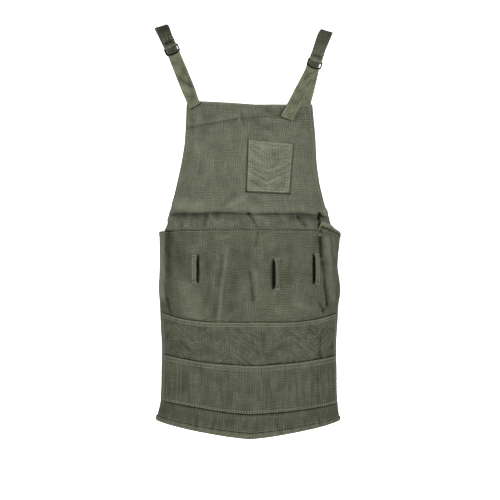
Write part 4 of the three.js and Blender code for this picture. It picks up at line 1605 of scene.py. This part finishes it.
            mesh = layer.mesh(inner, rows, wear)
            pocket = self.outfit.dress(name + "_cloth", mesh, SHADED_SKIRT_CANVAS, Slot.CANVAS, [name])
            seams = [mouth + inset for inset in self.mouth_seams] + list(self.foot_seams)
            sewn = [layer.row(seam, row) for row in seams]
            sewn += [layer.row(t, np.linspace(mouth + 0.02, 4.98, 240)) for t in beside]
            sewing = self.outfit.sew(name + "_stitching", sewn, Slot.CANVAS)
        for loop in LOOPS:
            piece, sewing = loop.build(self.outfit, cloth)


@dataclass(frozen=True)
class ToolLoop:
    """Standing strip sewn flat at both ends and bowed out between them, with one edge twisted out."""

    name: str
    x: float
    top: float
    foot: float
    twist: float
    rise: float
    gap: float  # from its middle to the gap beside it, where the skirt gets its darkest painted shadow
    gap_width: float
    width: float = 12.0
    rubbed: float = 0.3
    forward: float = 0.65  # how far the bow turns from the cloth's normal to the front
    end: float = 0.06  # share of the loop that is sewn flat at each end
    welt: tuple[float, float, float] = (0.25, 2.6, 3.4)  # rise of the edges, and from where to where it grows
    lift: float = 0.3  # of the stitches from the loop's cloth
    end_rows: tuple[int, ...] = (2, 6, -7, -3)  # stations that are sewn across

    def painted_shadow(self, x: Array, z: Array) -> Array:
        """Painted shadow of the loop on the skirt: most in the gap beside it, less under it, none past its
        ends.

        Args:
            x: X of the points.
            z: Z of the points.

        Returns:
            How dark the painted shadow is.
        """
        within = ease(z, self.foot - 1, self.foot + 4) - ease(z, self.top - 4, self.top + 1)
        under = 0.6 * bell(x - self.x, self.width * 0.5)
        beside = 2.4 * bell(x - self.x - self.gap, self.gap_width)
        return within * np.maximum(under, beside)

    def build(self, outfit: Outfit, cloth: Layer) -> tuple[bpy.types.Object, bpy.types.Object]:
        """The loop and the stitches of its two ends.

        Stations go down the loop. The bow is one minus an eighth power, so it is flat on top and steep at its
        ends.

        Args:
            outfit: makes the pieces.
            cloth: the skirt's cloth.

        Returns:
            The loop and its stitching.
        """
        share = graded(0, (0.3, 30), (0.7, 20), (1, 30))
        located = cloth.panel.locate(np.full_like(share, self.x), blend(self.top, self.foot, share))
        points, normals = cloth.panel.place(*located)
        free = np.clip((share - self.end) / (1 - 2 * self.end), 0, 1)
        bow = (1 - (2 * free - 1) ** 8)[:, None]
        down = unit(np.array([0, 0, -1]) + normals * normals[:, 2:])
        twist = np.radians(self.twist) * bow
        turned = normals * np.cos(twist) + np.cross(down, normals) * np.sin(twist)
        sewn = points + normals * (cloth.outside(*located) + LAYER_GAP + PATCH / 2)[:, None]
        centre = sewn + unit(blend(normals, np.array([0.0, -1.0, 0.0]), self.forward)) * self.rise * bow
        w = np.linspace(-self.width / 2, self.width / 2, 11)
        sheet = centre[:, None] + np.cross(turned, down)[:, None] * w[:, None]
        facing = sheet_normals(sheet)
        welt = self.welt[0] * ease(np.abs(w), *self.welt[1:])
        mesh = wall(sheet, facing, np.full(sheet.shape[:2], -PATCH / 2),
                    np.broadcast_to(PATCH / 2 + welt, sheet.shape[:2]), self.rubbed, 0.3)
        piece = outfit.dress(self.name + "_cloth", mesh, SHADED_SKIRT_CANVAS, Slot.CANVAS, [self.name])
        outer = sheet + facing * (PATCH / 2 + self.lift)
        rows = [stitches(outer[k, 1:-1], facing[k, 1:-1]) for k in self.end_rows]
        rows += [stitches(outer[:, k], facing[:, k]) for k in (2, -3)]
        return piece, outfit.sew(self.name + "_stitching", rows, Slot.CANVAS)


LOOPS = (
    ToolLoop("tool_loop_left", -127, -536, -603, 14, 8.0, 7.2, 1.9),
    ToolLoop("tool_loop_centre", 62, -546, -617, -46, 10.0, -7.6, 2.8),
    ToolLoop("tool_loop_right", 154.5, -534, -606, -14, 7.5, -7.4, 2.2),
)


# Straps and rings

FOLD_BACK = 26.0
SEWN_BELOW = 30.0
STRAP_SPREAD = 9.0
BOW_SLACK = 0.8
WING_ROOM = 0.5
BAR_CLEAR = RING_WIRE / 2 + STRAP_GAP + STRAP / 2
FRONT_BAR_OUT = RING_WIRE + STRAP_GAP
FRONT_BOW_OUT = 2 * BAR_CLEAR + 0.1
TAIL_GAP = 1.0
TAIL_CURL = 4.0
LEG_END = 40.0  # length of a leg over which it settles at its end
CUP_SPAN = (3.0, 40.0)  # distances from the bow between which a leg loses its cup
SKEW_SPAN = 50.0  # length of the tail over which its end slants
SETTLE_SPAN = (12.0, 38.0)  # heights over the bib's top between which a leg leaves its face
WELT = 0.14
WELT_SPAN = (9.0, 11.0)
STRAP_DIP = 0.1  # of the outer face between its welts
# Rim of a strap, rubbed paler and given a painted highlight
STRAP_RIM_RUB_AND_HIGHLIGHT = 0.2
STRAP_RIPPLES = (Ripple(18, 26, 0.25, 71, 30), Ripple(7, 9, 0.08, 72))
NOISE_SHIFT = 300.0  # keeps the strap's middle off a corner of the noise
# Wear and painted light of the straps by length: painted light up the sewn leg to the bow, rubbed paler with
# a painted highlight round the bars, painted shadow in the step above them, and painted light and shade in
# front
SEWN_PAINTED_LIGHT, SEWN_FADE = 0.3, 20.0
BAR_RUB_AND_HIGHLIGHT, BAR_RUB_START, BAR_RUB_END = 0.7, (17.0, 19.0), (32.0, 36.0)
STEP_SHADE, STEP_AT, STEP_WIDTH = 0.9, 15.0, 1.6
SHADE_END = (120.0, 230.0)
# Shoulder strap in front: stations of its loop over the bars, how far it goes on round them in radians, its
# rise by share from the fold to the apex and bow, and the over and lean of its outward side
LOOP_STATIONS = np.array([FOLD_BACK, 24, 22, 19, 15, 12, STRAP_SPREAD])
BAR_HUG = 0.3
RISE_SHARE = 0.55
RISE_BOW = np.array([0, -7, 7])
FRONT_TURNS = ((20.0, 12.0), (26.0, 13.0), (55.0, 16.0))
# Route of a shoulder strap from its apex to the crossing: X as a share of the apex's reach, Y, Z below the
# apex, and the turn of its outward side from front to back and its tip to the side, in degrees
BACK_ROUTE = np.array([
    (1, 0, 0, 90, 17), (0.96, 42, -17, 122, 16), (0.83, 79, -75, 154, 11), (0.66, 101, -165, 172, 4),
    (0.57, 104, -200, 175, 3),
], dtype=[(name, float) for name in ("share", "y", "z", "over", "lean")])
CROSSING_Z = -300.0
CROSSING_REACH = 40.0  # degrees round the hip over which one strap stays clear of the other
LAPPED_PLACES = 2  # places of the route inside the far wing
LAP_EASE = 0.05
HIP_HALF_BREADTH = 212.5
HIP_HALF_DEPTH = 109.0
HIP_MIDDLE_Y = -4.0
HIP_ANGLES = np.array([0.0, 22, 42, 60, 75, 88])
CORNER_ANGLE = 75.0


def outward(sign: int, over: Array, lean: Array) -> Array:
    """Outward side of a shoulder strap: over turns it from front to back, and lean tips it sideways."""
    turn, tip = np.radians(over), np.radians(lean)
    return np.stack([sign * np.sin(tip), -np.cos(tip) * np.cos(turn), np.cos(tip) * np.sin(turn)], axis=-1)


@dataclass
class Adjuster:
    """One side's straps and its two D-rings."""

    side: Side
    bar: tuple[float, float, float]
    aim: tuple[float, float, float]
    sewn: tuple[float, float]
    tail: tuple[float, float]
    apex_reach: float
    apex_z: float
    far_corner_z: float
    crossing: float
    skew: float  # slant of the tail's cut end, along it for each millimetre across
    shade: float  # painted light of the shoulder strap in front of the shoulder: paler where positive, painted shade where negative
    creases: tuple[Fold, ...]  # creases of the tail: low ridges, most with painted shade along them
    bib: Bib
    skirt: Skirt
    outfit: Outfit
    across_steps: int = 12
    place: Array = field(init=False)
    up: Array = field(init=False)
    out: Array = field(init=False)
    across: Array = field(init=False)
    w: Array = field(init=False)  # places across a strap

    def __post_init__(self) -> None:
        """Frame at the straight bar of the rear ring: across, up the strap, and out to the front."""
        self.place = np.array(self.bar)
        self.up = unit(self.place - np.array(self.aim))
        chestward = outward(self.side.value, *map(np.array, FRONT_TURNS[0]))
        self.out = unit(chestward - self.up * (chestward @ self.up))
        self.across = np.cross(self.up, self.out)
        self.w = np.linspace(-STRAP_WIDTH / 2, STRAP_WIDTH / 2, self.across_steps + 1)

    def facing(self, angle: Array) -> Array:
        """Directions round a bar: out at 0, up at a quarter turn."""
        return np.cos(angle)[:, None] * self.out + np.sin(angle)[:, None] * self.up

    def stations(self, centre: Array, across: Array) -> Array:
        """Grid of a flat strap: points across it at each station."""
        return centre[:, None] + across[:, None] * self.w[:, None]

    def cup(self) -> Array:
        """How far the round of a ring's bow lifts a strap across its width."""
        return RING_BOW - np.sqrt(RING_BOW**2 - self.w**2)

    def on_bib(self, points: Array, side: int, extra: float) -> Array:
        """Places on the front (1) or the back (-1) of the bib, by the X and Z of points near it."""
        on, normals = self.bib.panel.place(*self.bib.panel.locate(points[..., 0], points[..., 2]))
        return on + normals * side * (SEWN_LAYER + extra)

    def leg(self, bow: Array, end: tuple[float, float], side: int, steps: int, below: float) -> Array:
        """One leg of the front strap, from the bow to a place on the bib and on below it.

        It runs straight, cupped by the bow at first, and settles on the bib's face near its top edge.

        Args:
            bow: foot of the rear ring.
            end: X and Z of its end on the bib.
            side: 1 in front of the bib, -1 behind it.
            steps: stations along it.
            below: how far it goes on past its end.

        Returns:
            Grid of the leg's middle surface.
        """
        in_front = side > 0
        extra = TAIL_GAP * in_front
        x, z = (np.array([value], float) for value in end)
        foot = self.on_bib(np.stack([x, x, z], axis=-1), side, extra)[0]
        bib_out = self.bib.panel.place(*self.bib.panel.locate(x, z))[1][0]
        down = unit(foot - bow)
        length = float(np.linalg.norm(foot - bow))
        distance = np.linspace(0, length + below, steps + 1)[1:]
        near = blend(BAR_CLEAR, (STRAP + STRAP_GAP) / 2, ease(distance, 0, 2 * STRAP_SPREAD))
        facing = blend(self.out, bib_out, ease(distance, 0, length)[:, None])
        normal = unit(facing - down * (facing @ down)[:, None])
        ending = ease(distance, length - LEG_END, length)
        centre = bow + down * distance[:, None] + self.out * (side * near * (1 - ending))[:, None]
        grid = self.stations(centre, np.cross(normal, down))
        cupped = 1 - ease(distance, *CUP_SPAN)
        grid = grid + self.up * (cupped[:, None] * self.cup())[..., None]
        slant = self.skew * self.w * ease(distance, length - SKEW_SPAN, length)[:, None] * in_front
        grid = grid + down * slant[..., None]
        settled = 1 - ease(centre[:, 2] - BIB_SECTIONS["z"][0], *SETTLE_SPAN)
        grid = blend(grid, self.on_bib(grid, side, extra), settled[:, None, None])
        return grid + bib_out * (TAIL_CURL * ending * in_front)[:, None, None]

    def build_rings(self) -> None:
        """D-rings: a straight bar, two corners and a bow swept with round wire, the front one tilted out."""
        reach, corner = (RING_INSIDE + RING_WIRE) / 2, RING_WIRE
        bow_angle = np.arccos(reach / RING_BOW)
        quarter = np.linspace(np.pi / 2, 0, 9)
        sweep = np.linspace(-bow_angle, bow_angle - np.pi, 60)
        bar = np.linspace(-reach + corner, reach - corner, 20, endpoint=False)[1:]
        bend = np.stack([reach - corner + corner * np.cos(quarter), corner * np.sin(quarter) - corner], -1)
        bow = np.stack([RING_BOW * np.cos(sweep), RING_BOW * np.sin(sweep) + RING_BOW - RING_HEIGHT], -1)
        outline = np.concatenate([np.stack([bar, 0 * bar], -1), bend, bow[1:-1], bend[::-1] * (-1, 1)])
        x, y = outline[:, :1], outline[:, 1:]
        tilt = -np.arcsin((FRONT_BOW_OUT - FRONT_BAR_OUT) / RING_HEIGHT)
        for name, angle, offset in (("rear", 0.0, 0.0), ("front", tilt, FRONT_BAR_OUT)):
            flat = self.place + self.across * x + self.up * y * np.cos(angle)
            path = flat + self.out * (y * np.sin(angle) + offset)
            node = f"ring_{self.side.name.lower()}_{name}"
            self.outfit.dress(node + "_wire", tube(path, RING_WIRE / 2, 14), RING_STEEL, Slot.RING, [node])

    def ribbon(self, kind: str, grid: Array, finish: Canvas, across_rows: Sequence[int],
               wear: Callable[[Array], Array]) -> None:
        """A strap of folded cloth: welted along both edges, with a row of stitches down each.

        Args:
            kind: the solid that it replaces, without its side.
            grid: its middle surface, stations by columns.
            finish: its cloth.
            across_rows: stations that are sewn across.
            wear: extra wear and painted light by length along the strap.
        """
        name = f"{kind}_{self.side.name.lower()}"
        normals = sheet_normals(grid)
        flat = flat_map(grid)
        u, v = flat[..., 0], flat[..., 1]
        crumple = sum(ripple.height(u + NOISE_SHIFT, v) for ripple in STRAP_RIPPLES)
        welt = WELT * ease(np.abs(self.w), *WELT_SPAN)
        # Crumple crests are paler, and painted shade lies in their hollows
        worn_and_painted_light = wear(v) + crumple
        mesh = wall(grid + normals * crumple[..., None], normals, np.full(u.shape, -STRAP / 2),
                    np.broadcast_to(STRAP / 2 - STRAP_DIP + welt, u.shape), worn_and_painted_light, STRAP_RIM_RUB_AND_HIGHLIGHT, worn_and_painted_light)
        piece = self.outfit.dress(name + "_cloth", mesh, finish, Slot.STRAP, [name])
        outer = grid + normals * (crumple + STRAP / 2)[..., None]
        rows = [stitches(outer[:, k], normals[:, k]) for k in (1, -2)]
        rows += [stitches(outer[k, 1:-1], normals[k, 1:-1]) for k in across_rows]
        sewing = self.outfit.sew(name + "_stitching", rows, Slot.STRAP)

    def build_front_strap(self) -> None:
        """Sewn behind the bib, it goes up behind both rings, over the rear bow and down between the bows."""
        bow = self.place - self.up * RING_HEIGHT
        angle = np.linspace(np.pi, 0, 15)
        centre = bow + self.facing(angle) * BAR_CLEAR + self.up * (BOW_SLACK * np.sin(angle))[:, None]
        turn = self.stations(centre, np.broadcast_to(self.across, centre.shape))
        turn = turn + self.up * self.cup()[:, None]
        sewn = self.leg(bow, self.sewn, -1, 64, SEWN_BELOW)[::-1]
        tail = self.leg(bow, self.tail, 1, 60, 0)
        rise = sum(crease.height(tail[..., 0], tail[..., 2]) for crease in self.creases)
        grid = np.concatenate([sewn, turn, tail + sheet_normals(tail) * rise[..., None]])
        # Painted shade along the tail's creases
        creases = sum(crease.rub_and_painted_shade * crease.height(grid[..., 0], grid[..., 2]) for crease in self.creases)
        turn_at = flat_map(sewn)[-1, self.across_steps // 2, 1]

        def wear(v: Array) -> Array:
            """Painted light up the sewn leg, against the shadow that the tail casts on it, and painted shade
            in the creases of the tail.
            """
            return blend(SEWN_PAINTED_LIGHT, creases, ease(v, turn_at - SEWN_FADE, turn_at))

        self.ribbon("front_strap", grid, STRAP_CANVAS, (-2, -4), wear)

    def route(self) -> tuple[Array, Array]:
        """Route of the shoulder strap after its loop.

        It goes up from the rings, over the apex, down the back to the crossing, and round the far hip on an
        ellipse.

        Returns:
            Places along it, and the over and lean of its outward side there.
        """
        sign = self.side.value
        rear = (FRONT_BAR_OUT - STRAP - STRAP_GAP) / 2
        loop_top = self.place + self.up * STRAP_SPREAD + self.out * rear
        fold_top = loop_top + self.up * (FOLD_BACK - STRAP_SPREAD)
        apex = np.array([sign * self.apex_reach, 0, self.apex_z])
        rise = blend(fold_top, apex, RISE_SHARE) + RISE_BOW
        back = np.stack([
            sign * BACK_ROUTE["share"] * self.apex_reach, BACK_ROUTE["y"], self.apex_z + BACK_ROUTE["z"],
        ], axis=-1)
        angle = np.radians(HIP_ANGLES)
        clear = self.crossing * np.clip(1 - HIP_ANGLES / CROSSING_REACH, 0, 1)
        hip = np.stack([
            -sign * HIP_HALF_BREADTH * np.sin(angle),
            HIP_MIDDLE_Y + HIP_HALF_DEPTH * np.cos(angle) + clear,
            blend(CROSSING_Z, self.far_corner_z, HIP_ANGLES / CORNER_ANGLE),
        ], axis=-1)
        slope = np.degrees(np.arctan2(np.sin(angle) / HIP_HALF_BREADTH, np.cos(angle) / HIP_HALF_DEPTH))
        turns = [*FRONT_TURNS, *zip(BACK_ROUTE["over"], BACK_ROUTE["lean"])]
        turns = np.concatenate([np.array(turns, float), np.stack([np.full(len(slope), 180.0), -slope], -1)])
        return np.concatenate([[loop_top, fold_top, rise], back, hip]), np.pad(turns, ((0, 0), (0, 1)))

    def build_shoulder_strap(self) -> None:
        """A sewn loop round the straight bars, then over the shoulder and across the back."""
        front = (FRONT_BAR_OUT + STRAP + STRAP_GAP) / 2
        first, second = np.linspace(BAR_HUG, -np.pi / 2, 9), np.linspace(-np.pi / 2, -np.pi - BAR_HUG, 9)
        centre = np.concatenate([
            self.place + self.up * LOOP_STATIONS[:, None] + self.out * front,
            self.place + self.out * FRONT_BAR_OUT + self.facing(first) * BAR_CLEAR,
            self.place + self.facing(second) * BAR_CLEAR,
        ])
        loop = self.stations(centre, np.broadcast_to(self.across, centre.shape))

        places, turns = self.route()
        share = np.linspace(0, 1, 330)
        ahead, behind = (spline(places, np.clip(share + step, 0, 1)) for step in (1e-4, -1e-4))
        tangent = unit(ahead - behind)
        sides = spline(turns, share)
        outside = outward(self.side.value, sides[:, 0], sides[:, 1])
        normal = -unit(outside - tangent * (outside * tangent).sum(-1, keepdims=True))
        run = self.stations(spline(places, share), np.cross(normal, tangent))
        lap_start = 1 - LAPPED_PLACES / (len(places) - 1)
        lapped = ease(share, lap_start, lap_start + LAP_EASE)
        located = self.skirt.panel.locate_on_side(-self.side.value, run[..., 1], run[..., 2])
        on, facing = self.skirt.panel.place(*located)
        run = blend(run, on - facing * (SEWN_LAYER + WING_ROOM), lapped[:, None, None])
        grid = np.concatenate([loop, run])

        def wear(v: Array) -> Array:
            """Rubbed pale with a painted highlight where the loop goes round the bars, painted shadow in the
            step above them, and the side's painted light in front.
            """
            loop = BAR_RUB_AND_HIGHLIGHT * (ease(v, *BAR_RUB_START) - ease(v, *BAR_RUB_END))
            return loop - STEP_SHADE * bell(v - STEP_AT, STEP_WIDTH) + self.shade * (1 - ease(v, *SHADE_END))

        self.ribbon("shoulder_strap", grid, SHADED_SHOULDER_CANVAS, (1, 3), wear)

    def build(self) -> None:
        """The rings and the two straps."""
        self.build_rings()
        self.build_front_strap()
        self.build_shoulder_strap()


@dataclass
class Studio:
    """Pale paper floor and wall, soft lights, and the camera at the photograph's viewing angle, in metres."""

    floor_z: float = -1.42
    wall_y: float = 5.2
    wall_top: float = 4.0
    bend: float = 3.6
    reach: float = 8.0
    camera_place: tuple[float, float, float] = (0.0, -3.31, -0.526)
    focal_pixels: float = 1391.3
    image_pixels: float = 500.0
    sensor: float = 36.0
    aim: tuple[float, float, float] = (0.0, -0.1, -0.5)

    def paper(self, name: str, profile: Array, finish: StudioPaper) -> None:
        """Sheet of paper: a profile carried straight across.

        Args:
            name: name of the object and its mesh.
            profile: Y and Z from front to back.
            finish: the paper.
        """
        size = len(profile)
        points = np.concatenate([np.insert(profile, 0, x, axis=1) for x in (-self.reach, self.reach)])
        grid = np.arange(2 * size).reshape(2, -1)
        quads = np.stack([grid[0, :-1], grid[1, :-1], grid[1, 1:], grid[0, 1:]], axis=-1)
        mesh = bpy.data.meshes.new(name)
        mesh.from_pydata(points.tolist(), [], quads.tolist())
        mesh.polygons.foreach_set("use_smooth", np.ones(len(quads), bool))
        mesh.materials.append(finish.material())
        sheet = bpy.data.objects.new(name, mesh)
        bpy.context.scene.collection.objects.link(sheet)

    def set_paper(self) -> None:
        """Matt floor, and behind it a bright wall whose foot turns up from the floor on a quarter circle."""
        floor = np.array([(-self.reach, self.floor_z), (self.wall_y - self.bend, self.floor_z)])
        angle = np.linspace(0, np.pi / 2, 24)
        foot = np.stack([
            self.wall_y - self.bend * (1 - np.sin(angle)), self.floor_z + self.bend * (1 - np.cos(angle)),
        ], axis=-1)
        self.paper("studio_floor", floor, StudioPaper("pale_studio_paper", "#e4e4e2"))
        self.paper("studio_wall", np.concatenate([foot, [(self.wall_y, self.wall_top)]]),
                   StudioPaper("white_studio_paper", "#ffffff", 1.0))

    def set_lights(self) -> None:
        """Square soft lights that face the apron, each by its name, place, breadth and power."""
        for name, place, size, power in (
            ("left_light", (-1.5, -1.7, 0.1), 0.8, 27.0), ("right_light", (1.5, -1.7, 0.1), 0.8, 27.0),
            ("front_light", (0.0, -3.0, 0.7), 1.2, 10.0), ("back_light", (0.0, 2.4, 0.9), 2.0, 20.0),
        ):
            lamp = bpy.data.lights.new(name, "AREA")
            lamp.size, lamp.energy = size, power
            lit = bpy.data.objects.new(name, lamp)
            lit.location = place
            lit.rotation_euler = (Vector(self.aim) - Vector(place)).to_track_quat("-Z", "Y").to_euler()
            bpy.context.scene.collection.objects.link(lit)

    def build(self) -> None:
        """Paper sweep, lights, world and camera."""
        self.set_paper()
        self.set_lights()
        scene = bpy.context.scene
        scene.view_settings.view_transform = "Standard"
        scene.view_settings.look = "Medium High Contrast"
        world = bpy.data.worlds.new("studio")
        world.use_nodes = True
        background = world.node_tree.nodes["Background"].inputs
        background["Color"].default_value = linear("#ffffff")
        background["Strength"].default_value = 0.1
        scene.world = world
        lens = bpy.data.cameras.new("camera")
        lens.sensor_width = self.sensor
        lens.lens = self.sensor * self.focal_pixels / self.image_pixels
        camera = bpy.data.objects.new("camera", lens)
        camera.location = self.camera_place
        camera.rotation_euler = (np.pi / 2, 0, 0)
        scene.collection.objects.link(camera)
        scene.camera = camera


def main() -> None:
    logging.basicConfig(level=logging.INFO, format="%(message)s")
    Studio().build()
    outfit = Outfit()
    bib, skirt = Bib(outfit), Skirt(outfit)
    bib.build()
    skirt.build()
    # The left shoulder strap gets painted shade in front and the right one painted light; tail creases with a
    # negative last number paint shade along the tail
    Adjuster(
        Side.LEFT, bar=(-185, -60, -52), aim=(-124, -96, -189), sewn=(-131, -191), tail=(-123, -195),
        apex_reach=213, apex_z=5, far_corner_z=-522, crossing=1.7, skew=0.0, shade=-0.12, creases=(
            Fold(-172, -124, -128, -151, 5, 0.5, -0.8), Fold(-150, -104, -134, -140, 7, 0.4, -0.6),
            Fold(-168, -142, -142, -158, 7, 1.2, 0.16), Fold(-150, -170, -128, -176, 5, 0.5, -0.3),
        ), bib=bib, skirt=skirt, outfit=outfit,
    ).build()
    Adjuster(
        Side.RIGHT, bar=(152.5, -66, -85), aim=(118, -97, -190), sewn=(129, -188), tail=(82, -225),
        apex_reach=183, apex_z=-5, far_corner_z=-508, crossing=-1.7, skew=-0.2, shade=0.32, creases=(
            Fold(127, -129, 141, -115, 2.6, 0.5, -0.9), Fold(143, -132, 131, -148, 2.8, 0.5, -0.8),
            Fold(118, -150, 126, -118, 6, 0.8, 0.12), Fold(96, -178, 104, -190, 6, 0.5, -0.3),
        ), bib=bib, skirt=skirt, outfit=outfit,
    ).build()


if __name__ == "__main__":
    main()
